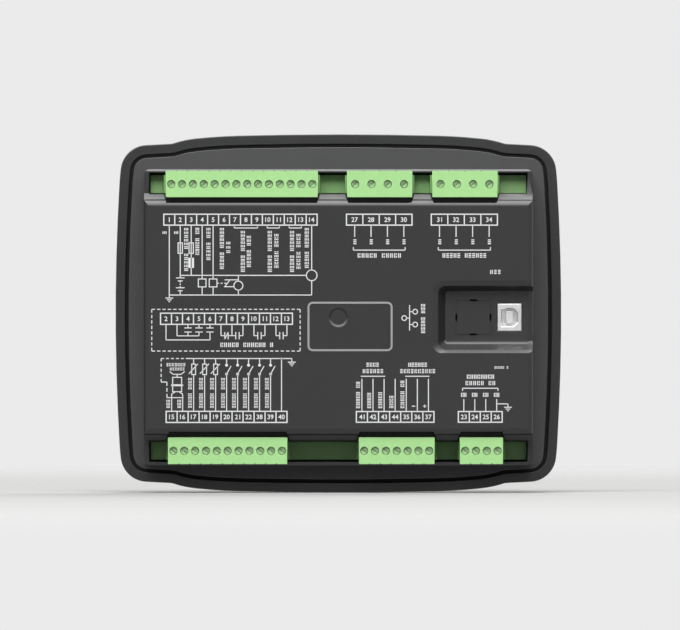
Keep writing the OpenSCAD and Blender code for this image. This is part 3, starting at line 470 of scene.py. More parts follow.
# Numbered boxes on the back, in millimetres from the bezel's middle
OUTPUTS = NumberRow(range(1, 15), -81.66, -9.94, 46.4, 41.3)
GENS = NumberRow(range(27, 31), 3.77, 34.43, 46.4, 41.3)
MAINS = NumberRow(range(31, 35), 43.43, 74.37, 46.4, 41.3)
INNER = NumberRow(range(2, 14), -83.2, -21.5, 0.1, -5.1)
INPUTS = NumberRow((15, 16, 17, 18, 19, 20, 21, 22, 38, 39, 40), -80.57, -24.03, -45.8, -51.0)
DATA = NumberRow((41, 42, 43, 44, 35, 36, 37), 8.4, 44.7, -45.9, -50.9)
CURRENTS = NumberRow((23, 24, 25, 26), 56.1, 76.6, -45.9, -50.9)


def box_u(row, i):
    """Middle of a row's box."""
    return row.left + (i + 0.5) * (row.right - row.left) / len(row.numbers)


def box_middles(row):
    """Middles of all the row's boxes."""
    return [box_u(row, i) for i in range(len(row.numbers))]


def circle(a, b, radius, steps):
    """The points of a circle."""
    turns = [2 * math.pi * i / steps for i in range(steps)]
    return [(a + radius * math.cos(t), b + radius * math.sin(t)) for t in turns]


# Small marks, as bars in a cell that is one high, and the gap between two cells
CELL_W = 0.62
CELL_GAP = 0.25
STROKE = 0.23
MARKS = (
    ((0, 0, STROKE, 1), (CELL_W - STROKE, 0, CELL_W, 1)),
    ((0, 0, CELL_W, STROKE), (0, 0.5 - STROKE / 2, CELL_W, 0.5 + STROKE / 2), (0, 1 - STROKE, CELL_W, 1)),
    ((0, 0, STROKE, 1), (CELL_W - STROKE, 0, CELL_W, 0.4), (CELL_W - STROKE, 0.6, CELL_W, 1)),
)
# A spaced line of marks has one empty cell in each run of this many, at this place in it
SPACE_EVERY = 7
SPACE_AT = 5
# How much a number is thickened before it is scaled, the steps of its curves and its depth before it is laid
NUMERAL_BOLD = 0.018
NUMERAL_STEPS = 3
NUMERAL_T = 0.5


class PrintSheet:
    """Collects flat printed shapes on one face and makes them one piece of thin ink."""

    def __init__(self, on_face):
        sizes = bpy.context.scene.controller_print
        self.on_face = on_face
        self.rise = sizes.rise / MM
        self.sink = sizes.sink / MM
        self.line = sizes.line / MM
        self.shape = bmesh.new()

    def prism(self, outline):
        """A filled outline."""
        top = [self.shape.verts.new(self.on_face(a, b, self.rise)) for a, b in outline]
        low = [self.shape.verts.new(self.on_face(a, b, -self.sink)) for a, b in outline]
        self.shape.faces.new(top)
        self.shape.faces.new(low[::-1])
        self.wall(top, low)

    def wall(self, upper, lower):
        """The faces between two loops of points."""
        for i, corner in enumerate(upper):
            j = (i + 1) % len(upper)
            self.shape.faces.new((corner, lower[i], lower[j], upper[j]))

    def band(self, outer, inner):
        """A closed band between two loops with as many points."""
        loops = []
        up, down = self.rise, -self.sink
        for loop, height in ((outer, up), (inner, up), (inner, down), (outer, down)):
            loops.append([self.shape.verts.new(self.on_face(a, b, height)) for a, b in loop])
        for upper, lower in zip(loops, loops[1:] + loops[:1]):
            self.wall(upper, lower)

    def block(self, a0, b0, a1, b1):
        """A filled rectangle."""
        self.prism([(a0, b0), (a1, b0), (a1, b1), (a0, b1)])

    def bar(self, a0, b0, a1, b1, width=None):
        """A straight line."""
        along = Vector((a1 - a0, b1 - b0))
        side = along.orthogonal().normalized() * (width or self.line) / 2
        ends = Vector((a0, b0)), Vector((a1, b1))
        self.prism([ends[0] - side, ends[1] - side, ends[1] + side, ends[0] + side])

    def path(self, *points):
        """A line through several points."""
        for start, end in zip(points, points[1:]):
            self.bar(*start, *end)

    def dashes(self, a0, b0, a1, b1, dash=1.5, gap=1.0):
        """A broken line."""
        along = Vector((a1 - a0, b1 - b0))
        step = along.normalized()
        count = max(1, round((along.length + gap) / (dash + gap)))
        pitch = (along.length + gap) / count
        for i in range(count):
            start = Vector((a0, b0)) + step * pitch * i
            end = start + step * (pitch - gap)
            self.bar(*start, *end)

    def frame(self, a0, b0, a1, b1, width=None):
        """A rectangle of lines."""
        def loop(grow):
            left, right, low, high = a0 - grow, a1 + grow, b0 - grow, b1 + grow
            return [(left, low), (right, low), (right, high), (left, high)]

        half = (width or self.line) / 2
        self.band(loop(half), loop(-half))

    def ring(self, a, b, radius, width=None, steps=28):
        """A circle of line."""
        half = (width or self.line) / 2
        self.band(circle(a, b, radius + half, steps), circle(a, b, radius - half, steps))

    def dot(self, a, b, radius, steps=14):
        """A filled circle."""
        self.prism(circle(a, b, radius, steps))

    def soft_frame(self, a0, b0, a1, b1, radius, width, steps=6):
        """A rectangle of line with round corners."""
        def loop(grow):
            r = radius + grow
            corners = ((a1 - radius, b1 - radius, 0), (a0 + radius, b1 - radius, 1),
                       (a0 + radius, b0 + radius, 2), (a1 - radius, b0 + radius, 3))
            return [(a + r * math.cos(t), b + r * math.sin(t))
                    for a, b, quarter in corners
                    for t in [(quarter + k / steps) * math.pi / 2 for k in range(steps + 1)]]

        self.band(loop(width / 2), loop(-width / 2))

    def earth(self, a, b, step=0.85, halves=(1.8, 1.1, 0.4)):
        """An earth sign that hangs from a point."""
        for i, half in enumerate(halves):
            self.bar(a - half, b - i * step, a + half, b - i * step)

    def word(self, a0, b, a1, height, upright=False, spaced=True):
        """A line of small marks from a0 to a1, or up the face from it if upright."""
        cell, gap = height * CELL_W, height * CELL_GAP
        count = max(1, round((a1 - a0 + gap) / (cell + gap)))
        pitch = (a1 - a0 - cell) / max(1, count - 1)
        for i in range(count):
            if spaced and i % SPACE_EVERY == SPACE_AT:
                continue
            for x0, y0, x1, y1 in MARKS[(i * i + count) % len(MARKS)]:
                along = [a0 + i * pitch + x * height for x in (x0, x1)]
                across = [(y - 0.5) * height for y in (y0, y1)]
                if upright:
                    self.block(b - across[1], along[0], b - across[0], along[1])
                else:
                    self.block(along[0], b + across[0], along[1], b + across[1])

    def numeral(self, text, a, b, height):
        """A number, centred on a point."""
        curve = bpy.data.curves.new("numeral", "FONT")
        curve.body = text
        curve.extrude = NUMERAL_T
        curve.offset = NUMERAL_BOLD
        curve.resolution_u = NUMERAL_STEPS
        carrier = link(bpy.data.objects.new("numeral", curve))
        view = bpy.context.evaluated_depsgraph_get()
        glyphs = bpy.data.meshes.new_from_object(carrier.evaluated_get(view), depsgraph=view)
        xs = [v.co.x for v in glyphs.vertices]
        ys = [v.co.y for v in glyphs.vertices]
        middle = Vector((min(xs) + max(xs), min(ys) + max(ys))) / 2
        scale = height / (max(ys) - min(ys))
        first = len(self.shape.verts)
        self.shape.from_mesh(glyphs)
        self.shape.verts.ensure_lookup_table()
        for vert in self.shape.verts[first:]:
            aside = (vert.co.x - middle.x) * scale
            up = (vert.co.y - middle.y) * scale
            vert.co = self.on_face(a + aside, b + up, self.rise if vert.co.z > 0 else -self.sink)
        bpy.data.objects.remove(carrier)
        bpy.data.curves.remove(curve)
        bpy.data.meshes.remove(glyphs)

    def finish(self, name, material, body=HOUSING):
        """Makes the piece and sets it on its body."""
        bmesh.ops.remove_doubles(self.shape, verts=self.shape.verts, dist=WELD)
        bmesh.ops.recalc_face_normals(self.shape, faces=self.shape.faces)
        mesh = bpy.data.meshes.new(name)
        self.shape.to_mesh(mesh)
        self.shape.free()
        mesh.materials.append(material)
        piece = link(bpy.data.objects.new(name, mesh))
        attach(piece, body)


def on_back(a, b, rise):
    """A point of the print on the case's back."""
    return case_point(a, b, BACK_W + rise)


def on_fascia(a, b, rise):
    """A point of the print on the fascia, a to the right for someone in front of it."""
    return case_point(-a, b, FASCIA_W - rise)


def number_boxes(sheet, row, sizes):
    """A row of boxes with their numbers."""
    border = sizes.border / MM
    sheet.frame(row.left, row.low, row.right, row.top, border)
    pitch = (row.right - row.left) / len(row.numbers)
    for i, number in enumerate(row.numbers):
        if i:
            sheet.bar(row.left + i * pitch, row.low, row.left + i * pitch, row.top, border)
        sheet.numeral(str(number), box_u(row, i), (row.top + row.low) / 2, sizes.numeral / MM)


def output_diagram(sheet, h):
    """Battery, relays, starter and charger under the output terminals."""
    top, bus_v, return_v, earth_v = OUTPUTS.low, 17.8, 8.6, 7.2
    u = box_middles(OUTPUTS)
    sheet.bar(u[0], top, u[0], return_v)
    sheet.bar(u[0], return_v, u[0], earth_v)
    sheet.earth(u[0], earth_v)
    fuse_top, fuse_low, fuse_half = 33.0, 28.1, 1.0
    for i in (1, 2):
        sheet.bar(u[i], top, u[i], fuse_top)
        sheet.frame(u[i] - fuse_half, fuse_low, u[i] + fuse_half, fuse_top)
    plates_v, plate_halves = (16.6, 15.2, 12.0, 10.6), (2.0, 1.1, 2.0, 1.1)
    sheet.bar(u[1], fuse_top, u[1], plates_v[0])
    for v, half in zip(plates_v, plate_halves):
        sheet.bar(u[1] - half, v, u[1] + half, v)
    sheet.dashes(u[1], plates_v[1], u[1], plates_v[2], dash=0.7, gap=0.5)
    sheet.bar(u[1], plates_v[3], u[1], return_v)
    sheet.bar(u[2], fuse_top, u[2], bus_v)
    button_top, button_low, button_half = 26.0, 21.3, 1.3
    sheet.block(u[2] - button_half, button_low, u[2] + button_half, button_top)
    coil_top, coil_low, coil_half = 16.1, 12.4, 1.8
    for i in (3, 4):
        sheet.bar(u[i], top, u[i], coil_top)
        sheet.frame(u[i] - coil_half, coil_low, u[i] + coil_half, coil_top)
        sheet.bar(u[i], coil_low, u[i], return_v)
    charger_u, charger_r, bus_gap = u[13], 2.5, 2.6
    sheet.bar(u[1], bus_v, charger_u - bus_gap, bus_v)
    sheet.bar(u[0], return_v, charger_u, return_v)
    starter_u, starter_v, starter_r = -46.8, 13.0, 2.1
    sheet.ring(starter_u, starter_v, starter_r)
    sheet.bar(starter_u, bus_v, starter_u, starter_v + starter_r)
    sheet.bar(starter_u, starter_v - starter_r, starter_u, return_v)
    pull_v, contact_top, contact_low = 14.1, 15.7, 12.5
    sheet.dashes(u[4] + coil_half, pull_v, -52.4, pull_v, dash=1.0, gap=0.8)
    sheet.bar(starter_u, contact_top, -53.2, contact_top)
    sheet.bar(-50.9, 15.5, -53.0, 12.7)
    sheet.bar(-53.4, contact_low, starter_u - starter_r, contact_low)
    sheet.ring(charger_u, bus_v, charger_r)
    sheet.bar(charger_u, top, charger_u, bus_v + charger_r)
    sheet.bar(charger_u, bus_v - charger_r, charger_u, return_v)
    tick_v, bracket_v = 40.7, 39.95
    for left, right in ((-48.7, -37.8), (-33.3, -27.6), (-23.0, -17.3)):
        sheet.path((left, tick_v), (left, bracket_v), (right, bracket_v), (right, tick_v))
    for at, low, high in ((-81.3, 37.2, 39.1), (-75.9, 37.2, 39.1), (-71.2, 19.9, 40.0), (-66.0, 27.4, 40.0),
                          (-60.8, 25.0, 40.0), (-54.5, 20.8, 40.0), (-51.5, 28.3, 33.5), (-44.7, 19.4, 38.6),
                          (-41.9, 21.7, 36.3), (-32.1, 19.4, 38.6), (-29.0, 21.3, 37.2), (-21.7, 19.4, 38.6),
                          (-18.7, 20.8, 37.2), (-14.8, 21.3, 40.0)):
        sheet.word(low, at, high, h, upright=True)


def supply_diagram(sheet, row, h):
    """Lines and a bracket under a row of voltage terminals."""
    line_v, mark_v, tick_v, bracket_v, word_v = 35.8, 33.5, 31.0, 29.6, 27.1
    half, inset = 0.6, 2.0
    u = box_middles(row)
    for a in u:
        sheet.bar(a, row.low, a, line_v)
        sheet.word(a - half, mark_v, a + half, 1.2 * h)
    left, right = u[0] - half, u[-1] + half
    sheet.path((left, tick_v), (left, bracket_v), (right, bracket_v), (right, tick_v))
    sheet.word(left + inset, word_v, right - inset, 1.1 * h)


def inner_diagram(sheet, h):
    """Relay contacts inside the unit, in their broken box."""
    left, right, top, low = -87.3, -17.9, 1.9, -17.6
    for v in (top, low):
        sheet.dashes(left, v, right, v)
    for a in (left, right):
        sheet.dashes(a, low, a, top)
    u = box_middles(INNER)
    foot, far, near = INNER.low, -12.4, -10.5
    plates = (-6.8, -8.7)
    half = 1.7
    sheet.path((u[0], foot), (u[0], far), (u[4], far), (u[4], plates[1]))
    sheet.path((u[1], foot), (u[1], near), (u[3], near), (u[3], plates[1]))
    sheet.path((u[2], near), (u[2], plates[1]))
    for i in (2, 3, 4):
        sheet.bar(u[i], foot, u[i], plates[0])
        for v in plates:
            sheet.bar(u[i] - half, v, u[i] + half, v)
    contact_v, apart = -10.4, 0.8
    for first, closed in ((5, True), (6, False), (8, False), (10, False)):
        middle = (u[first] + u[first + 1]) / 2
        for i, plate in ((first, middle - apart), (first + 1, middle + apart)):
            sheet.path((u[i], foot), (u[i], contact_v), (plate, contact_v))
            sheet.bar(plate, contact_v - half, plate, contact_v + half)
        if closed:
            sheet.bar(middle - apart, contact_v - half, middle + apart, contact_v + half)
    sheet.word(-55.2, -14.7, -30.6, 1.1 * h)


def input_diagram(sheet, h):
    """Pickup, sensors and switches above the input terminals."""
    bus_v, foot = -21.1, INPUTS.top
    u = box_middles(INPUTS)
    bus_start, earth_u, earth_v = -71.3, -21.8, -22.8
    sheet.bar(bus_start, bus_v, earth_u, bus_v)
    sheet.dot(u[10], bus_v, 0.5)
    sheet.bar(earth_u, bus_v, earth_u, earth_v)
    sheet.earth(earth_u, earth_v)
    left, bend_v, shield_u, shield_v = -82.9, -32.1, -80.2, -39.4
    sheet.dashes(left, bus_v, bus_start - 1.0, bus_v)
    sheet.dashes(left, bus_v, left, bend_v)
    sheet.dashes(left, bend_v, shield_u, bend_v)
    sheet.dashes(shield_u, bend_v, shield_u, shield_v)
    sheet.bar(shield_u, shield_v, u[1] + 0.4, shield_v)
    sheet.word(-80.4, -24.0, -71.6, 0.8 * h, spaced=False)
    pickup, body_top, body_low, body_half = (u[0] + u[1]) / 2, -29.9, -36.6, 2.1
    sheet.word(pickup - 3.4, -26.0, pickup + 3.4, 0.7 * h, spaced=False)
    sheet.path((pickup - 3.5, -27.2), (pickup - 1.8, -28.5), (pickup + 1.8, -28.5), (pickup + 3.5, -27.2))
    sheet.bar(pickup, -28.5, pickup, -29.8)
    sheet.frame(pickup - body_half, body_low, pickup + body_half, body_top)
    sheet.bar(pickup - 2.8, -33.6, pickup + 2.8, -33.6, 2 * sheet.line)
    word_low, word_top, small = -44.2, -30.2, 0.9 * h
    for a, side in ((u[0], -1), (u[1], 1)):
        sheet.path((pickup + side * 0.7, body_low), (a, -37.7), (a, foot))
        sheet.word(word_low, a - 1.6, -40.4, small, upright=True, spaced=False)
    sensor_top, sensor_low, sensor_half = -23.7, -28.6, 0.9
    for a in u[2:5]:
        sheet.bar(a, bus_v, a, sensor_top)
        sheet.frame(a - sensor_half, sensor_low, a + sensor_half, sensor_top)
        sheet.bar(a - 2.2, -28.2, a + 2.0, -23.6)
        sheet.bar(a, sensor_low, a, foot)
        sheet.word(word_low, a - 1.7, word_top, small, upright=True)
    switch_top, switch_low, pole_r = -24.2, -28.4, 0.7
    for a in u[5:10]:
        sheet.bar(a, bus_v, a, sensor_top)
        sheet.dot(a, switch_top, pole_r)
        sheet.dot(a, switch_low, pole_r)
        sheet.bar(a, switch_low, a + 2.1, -24.6)
        sheet.bar(a, switch_low, a, foot)
        sheet.word(word_low, a - 1.7, word_top, small, upright=True)
    sheet.bar(u[10], bus_v, u[10], foot)


def data_diagram(sheet, h):
    """Lines, brackets and marks above the data terminals."""
    u = box_middles(DATA)
    bracket_v, line_v, half = -29.4, -30.6, 0.5
    for a in u:
        sheet.bar(a, line_v, a, DATA.top)
    for first, last in ((0, 2), (4, 6)):
        sheet.bar(u[first] - half, bracket_v, u[last] + half, bracket_v)
    title_v, detail_v = -24.0, -27.0
    for left, right, v in ((13.1, 18.9, title_v), (11.4, 20.9, detail_v),
                           (32.7, 41.4, title_v), (28.9, 45.2, detail_v)):
        sheet.word(left, v, right, h, spaced=False)
    for a, high in zip(u, (-32.0, -37.2, -36.9, -38.5, -31.5)):
        sheet.word(-44.3, a - 1.8, high, h, upright=True)
    sign_v, sign_half, sign_gap = -43.4, 0.75, 1.75
    for a in u[5:]:
        sheet.bar(a - sign_gap - sign_half, sign_v, a - sign_gap + sign_half, sign_v)
    sheet.bar(u[6] - sign_gap, sign_v - sign_half, u[6] - sign_gap, sign_v + sign_half)


def current_diagram(sheet, h):
    """Lines, bracket and earth above the current terminals."""
    u = box_middles(CURRENTS)
    sheet.word(60.1, -29.6, 72.8, 1.05 * h, spaced=False)
    sheet.word(59.5, -32.6, 73.3, 1.05 * h)
    left, right, bracket_v, tick_v = u[0] - 0.6, u[3] + 0.6, -35.0, -36.2
    sheet.path((left, tick_v), (left, bracket_v), (right, bracket_v), (right, tick_v))
    mark_v, line_v = -38.1, -40.1
    for a in u:
        sheet.word(a - 1.3, mark_v, a + 1.2, h, spaced=False)
        sheet.bar(a, line_v, a, CURRENTS.top)
    branch_v, earth_u, earth_v = -42.3, 79.3, -43.9
    sheet.path((u[3], branch_v), (earth_u, branch_v), (earth_u, earth_v))
    sheet.earth(earth_u, earth_v)
    sheet.word(73.0, -25.3, 79.4, 0.6 * h)


def port_signs(sheet, h):
    """The network sign beside the recess and the marks over the data jack."""
    bar_u, station_r = 33.3, 1.1
    sheet.bar(bar_u, 3.9, bar_u, -8.0)
    for a, b in ((30.8, -2.2), (35.9, 0.8), (35.9, -5.2)):
        sheet.ring(a, b, station_r)
        sheet.bar(bar_u, b, a - math.copysign(station_r, a - bar_u), b)
    sheet.word(-9.2, 39.6, 4.4, h, upright=True)
    sheet.word(71.0, 19.4, 75.8, h, spaced=False)


# Operators

# The flange's rearward faces, which get a lighter tone as painted light, look back at least this much and lie
# no farther back than this
FLANGE_Y = -0.5
FLANGE_W = 0.2
# The grey outline on the back, as its left, low, right and high lines, and its corners
OUTLINE_BOX = (-14.0, -17.2, 24.9, 5.0)
OUTLINE_R = 2.0
# Distances of the fascia's lines from the window, the keys and the lights, and the lines' own sizes
WINDOW_MARGIN = 2.0
WINDOW_R = 2.5
KEYS_MARGIN = 4.0
LIGHTS = 4
LIGHT_MARGIN = 0.9
LIGHT_LINE = 0.35


class CONTROLLER_OT_case(bpy.types.Operator):
    """Makes the bezel, the rear case and the seal between them."""
    bl_idname = "controller.case"
    bl_label = "Case, bezel and seal"

    def execute(self, context):
        tones, edges = context.scene.controller_colours, context.scene.controller_edges
        grained = plastic("case_plastic", tones.case, rough=0.34, bump=0.3)
        dress("front_bezel", edges.bezel, grained, "case")
        cover = dress("rear_cover", edges.case, grained, "case", angle=16.0, by_area=True)
        # The flange gets a lighter copy of the case's plastic as painted light, with a coarser grain
        self.grain_flange(cover.data, plastic("flange_plastic_painted_light", tones.flange, grain=1800.0, bump=0.4))
        rubber = plastic("seal_rubber", tones.seal, rough=0.8, grain=1800.0, Specular_IOR_Level=0.15)
        dress("case_seal", edges.seal, rubber, "seal")
        return {"FINISHED"}

    def grain_flange(self, mesh, coarse_and_lit):
        """Gives the rearward faces of the flange a coarser grain of their own and a lighter tone, which is
        painted light.
        """
        mesh.materials.append(coarse_and_lit)
        for face in mesh.polygons:
            if face.normal.y < FLANGE_Y and face.center.y > -FLANGE_W * MM:
                face.material_index = 1


class CONTROLLER_OT_terminals(bpy.types.Operator):
    """Makes the headers, plugs, terminal screws, clamps and pins."""
    bl_idname = "controller.terminals"
    bl_label = "Terminals"

    def execute(self, context):
        tones, edges = context.scene.controller_colours, context.scene.controller_edges
        green = plastic("plug_plastic", tones.plug, rough=0.48, mottle=0.06, grain=3200.0)
        for node in UPPER_PLUGS + LOWER_PLUGS:
            dress(node, edges.plug, green, "terminal")
        # A darker copy of the plugs' plastic, as painted shade in the slots
        dull = plastic("header_plastic_painted_shade", tones.header, rough=0.48, mottle=0.06, grain=3200.0)
        for node in ("upper_header", "lower_header"):
            dress(node, edges.plug, dull, "terminal")
        # Zinc tinted green as painted reflection of the plugs round the screws
        zinc = metal("screw_zinc_painted_reflection", tones.screw, rough=0.42, shine=0.35)
        for node in ("upper_screws", "lower_screws"):
            dress(node, edges.screw, zinc, "steel")
        steel = metal("clamp_steel", tones.steel)
        for node in ("upper_clamps", "lower_clamps"):
            paint(node, steel)
        tinned = metal("pin_tin", tones.contact, rough=0.25)
        for node in ("upper_pins", "lower_pins"):
            paint(node, tinned)
        return {"FINISHED"}


class CONTROLLER_OT_data_port(bpy.types.Operator):
    """Makes the data jack and its tongue."""
    bl_idname = "controller.data_port"
    bl_label = "Data port"

    def execute(self, context):
        tones, edges = context.scene.controller_colours, context.scene.controller_edges
        dress("data_jack", edges.jack, metal("jack_nickel", tones.jack, rough=0.3), "jack")
        white = plastic("tongue_plastic", tones.tongue, rough=0.4, mottle=0.04)
        dress("jack_tongue", edges.jack, white, "tongue")
        return {"FINISHED"}


class CONTROLLER_OT_rear_print(bpy.types.Operator):
    """Prints the numbers, diagrams and outline on the case's back."""
    bl_idname = "controller.rear_print"
    bl_label = "Rear print"

    def execute(self, context):
        tones, sizes = context.scene.controller_colours, context.scene.controller_print
        white = ink("print_white", tones.print_white)
        h = sizes.word / MM
        numbers = PrintSheet(on_back)
        for row in (OUTPUTS, GENS, MAINS, INNER, INPUTS, DATA, CURRENTS):
            number_boxes(numbers, row, sizes)
        numbers.finish("rear_numbers", white)
        diagrams = PrintSheet(on_back)
        output_diagram(diagrams, h)
        supply_diagram(diagrams, GENS, h)
        supply_diagram(diagrams, MAINS, h)
        inner_diagram(diagrams, h)
        input_diagram(diagrams, h)
        data_diagram(diagrams, h)
        current_diagram(diagrams, h)
        port_signs(diagrams, h)
        diagrams.finish("rear_diagrams", white)
        outline = PrintSheet(on_back)
        outline.soft_frame(*OUTLINE_BOX, OUTLINE_R, sizes.outline / MM)
        outline.finish("rear_outline", ink("print_grey", tones.print_grey))
        return {"FINISHED"}


class CONTROLLER_OT_front(bpy.types.Operator):
    """Finishes the fascia, window, display and lights, with the fascia's plain lines."""
    bl_idname = "controller.front"
    bl_label = "Front"

    def execute(self, context):
        tones, sizes = context.scene.controller_colours, context.scene.controller_print
        film = plastic("fascia_film", tones.fascia, rough=0.38, grain=5200.0, bump=0.15, mottle=0.08)
        paint("front_fascia", film)
        paint("display_lens", glass("window_clear", tones.window))
        paint("lcd_module", plastic("display_glass", tones.lcd, rough=0.25, grain=2700.0, bump=0.05))
        amber = plastic("light_amber", tones.light, rough=0.2, grain=900.0, bump=0.05, Coat_Weight=0.5)
        paint("status_lights", amber)
        lines = PrintSheet(on_fascia)
        self.window_lines(lines, sizes.border / MM)
        self.light_rings(lines)
        lines.finish("fascia_lines", ink("fascia_print", tones.fascia_line))
        return {"FINISHED"}

    def window_lines(self, lines, border):
        """A frame round the display window, and as long a line above the row of keys."""
        low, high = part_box("display_lens")
        left, right = -high.x / MM - WINDOW_MARGIN, -low.x / MM + WINDOW_MARGIN
        foot, top = low.z / MM - WINDOW_MARGIN, high.z / MM + WINDOW_MARGIN
        lines.soft_frame(left, foot, right, top, WINDOW_R, border)
        line_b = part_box("key_stop")[1].z / MM + KEYS_MARGIN
        lines.bar(left, line_b, right, line_b)

    def light_rings(self, lines):
        """A ring round each status light."""
        low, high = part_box("status_lights")
        middle_a = -(low.x + high.x) / 2 / MM
        radius = (high.x - low.x) / 2 / MM
        pitch = ((high.z - low.z) / MM - 2 * radius) / (LIGHTS - 1)
        for i in range(LIGHTS):
            lines.ring(middle_a, low.z / MM + radius + i * pitch, radius + LIGHT_MARGIN, LIGHT_LINE)


class CONTROLLER_OT_keys(bpy.types.Operator):
    """Makes the keys with their plain signs, each on its own body."""
    bl_idname = "controller.keys"
    bl_label = "Keys"

    def execute(self, context):
        tones, edges = context.scene.controller_colours, context.scene.controller_edges
        red = plastic("key_plastic_red", tones.key_red, rough=0.5)
        green = plastic("key_plastic_green", tones.key_green, rough=0.5)
        grey = plastic("key_plastic_grey", tones.key_grey, rough=0.5)
        white = ink("key_print", tones.print_white)
        coloured = {"key_stop": (red, "key_red"), "key_start": (green, "key_green")}
        for node in ROW_KEYS + MENU_KEYS:
            soft, slot = coloured.get(node, (grey, "key_grey"))
            dress(node, edges.key, soft, slot, node)
            self.sign(node).finish(node + "_sign", white, node)
        return {"FINISHED"}

    def sign(self, node):
        """The key's sign, laid on its dished top."""
        dish_t, dish_r = 0.4, 5.8
        sign_r, thick, thin = 2.4, 0.7, 0.6
        arrow_base, arrow_tip = 1.4, 2.2
        square, wedge_base, wedge_tip = 1.7, 1.5, 2.1
        dot_r, pip_r = 1.3, 0.9
        low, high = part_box(node)
        middle_a, middle_b = -(low.x + high.x) / 2 / MM, (low.z + high.z) / 2 / MM
        top_w = -high.y / MM

        def on_dish(a, b, rise):
            across = (a * a + b * b) / dish_r ** 2
            return case_point(-middle_a - a, middle_b + b, top_w + dish_t * (1 - across) - rise)

        sheet = PrintSheet(on_dish)
        if node == "key_stop":
            sheet.ring(0, 0, sign_r, thick)
        elif node == "key_start":
            sheet.bar(0, -sign_r, 0, sign_r, thick)
        elif node == "key_up":
            sheet.prism([(-sign_r, -arrow_base), (sign_r, -arrow_base), (0, arrow_tip)])
        elif node == "key_down":
            sheet.prism([(-sign_r, arrow_base), (0, -arrow_tip), (sign_r, arrow_base)])
        elif node == "key_confirm":
            sheet.dot(0, 0, dot_r)
        elif node == "key_manual":
            sheet.frame(-square, -square, square, square, thin)
        elif node == "key_test":
            sheet.prism([(-wedge_base, -wedge_tip), (wedge_tip, 0), (-wedge_base, wedge_tip)])
        else:
            sheet.ring(0, 0, sign_r, thin)
            sheet.dot(0, 0, pip_r)
        return sheet


class CONTROLLER_OT_inner(bpy.types.Operator):
    """Finishes the boards and what stands on them."""
    bl_idname = "controller.inner"
    bl_label = "Inner pieces"

    def execute(self, context):
        tones = context.scene.controller_colours
        laminate = plastic("board_laminate", tones.board, rough=0.35, grain=1500.0, mottle=0.3)
        black = plastic("black_plastic", tones.black)
        steel = metal("board_steel", tones.steel)
        blue = plastic("transformer_potting", tones.potting, rough=0.5)
        sleeve = plastic("capacitor_sleeve", tones.sleeve, rough=0.35)
        for material, nodes in (
                (laminate, ("display_board", "main_board", "riser_board")),
                (black, ("key_switches", "board_link", "riser_link", "relays", "processor")),
                (steel, ("display_screws", "main_screws")),
                (blue, ("current_transformers",)),
                (sleeve, ("capacitors",))):
            for node in nodes:
                paint(node, material)
        return {"FINISHED"}


# Stage

# Where the two fill lamps stand, as directions from the unit's middle
REAR_FILL = Vector((-0.1, -1.0, 1.15)).normalized()
FRONT_FILL = Vector((0.25, 1.0, 0.6)).normalized()
# The floor's sides, and the parts of its radius between which it fades
FLOOR_SIDES = 96
FLOOR_FADE = (0.15, 0.9)
# Between these parts of a direction along Y the reflected lights from above and below fall to a share
WALL_FADE = (0.1, 0.5)
WALL_SHARE = 0.1
# Between these parts along Z the one from below ends, and along X and Y the one from the right begins
BELOW_FADE = (-0.6, 0.0)
RIGHT_FADE = (0.4, 0.7)
AHEAD_FADE = (0.1, 0.4)


def fill_lamp(name, watts, side, at, look_at):
    """A soft square lamp that lights, and that neither the camera nor a reflection shows."""
    lamp = bpy.data.lights.new(name, "AREA")
    lamp.energy = watts
    lamp.shape = "RECTANGLE"
    lamp.size, lamp.size_y = side, side
    holder = link(bpy.data.objects.new(name, lamp))
    holder.location = at
    holder.rotation_mode = "QUATERNION"
    holder.rotation_quaternion = (look_at - at).to_track_quat("-Z", "Y")
    holder.visible_camera = False
    holder.visible_glossy = False


def ramp(tree, axes, axis, between, low=0.0, high=1.0, shape="LINEAR"):
    """A value that goes from low to high between two places along an axis."""
    made = place(tree, "ShaderNodeMapRange", {1: between[0], 2: between[1], 3: low, 4: high},
                 interpolation_type=shape)
    join(tree, axes, axis, made, "Value")
    return made


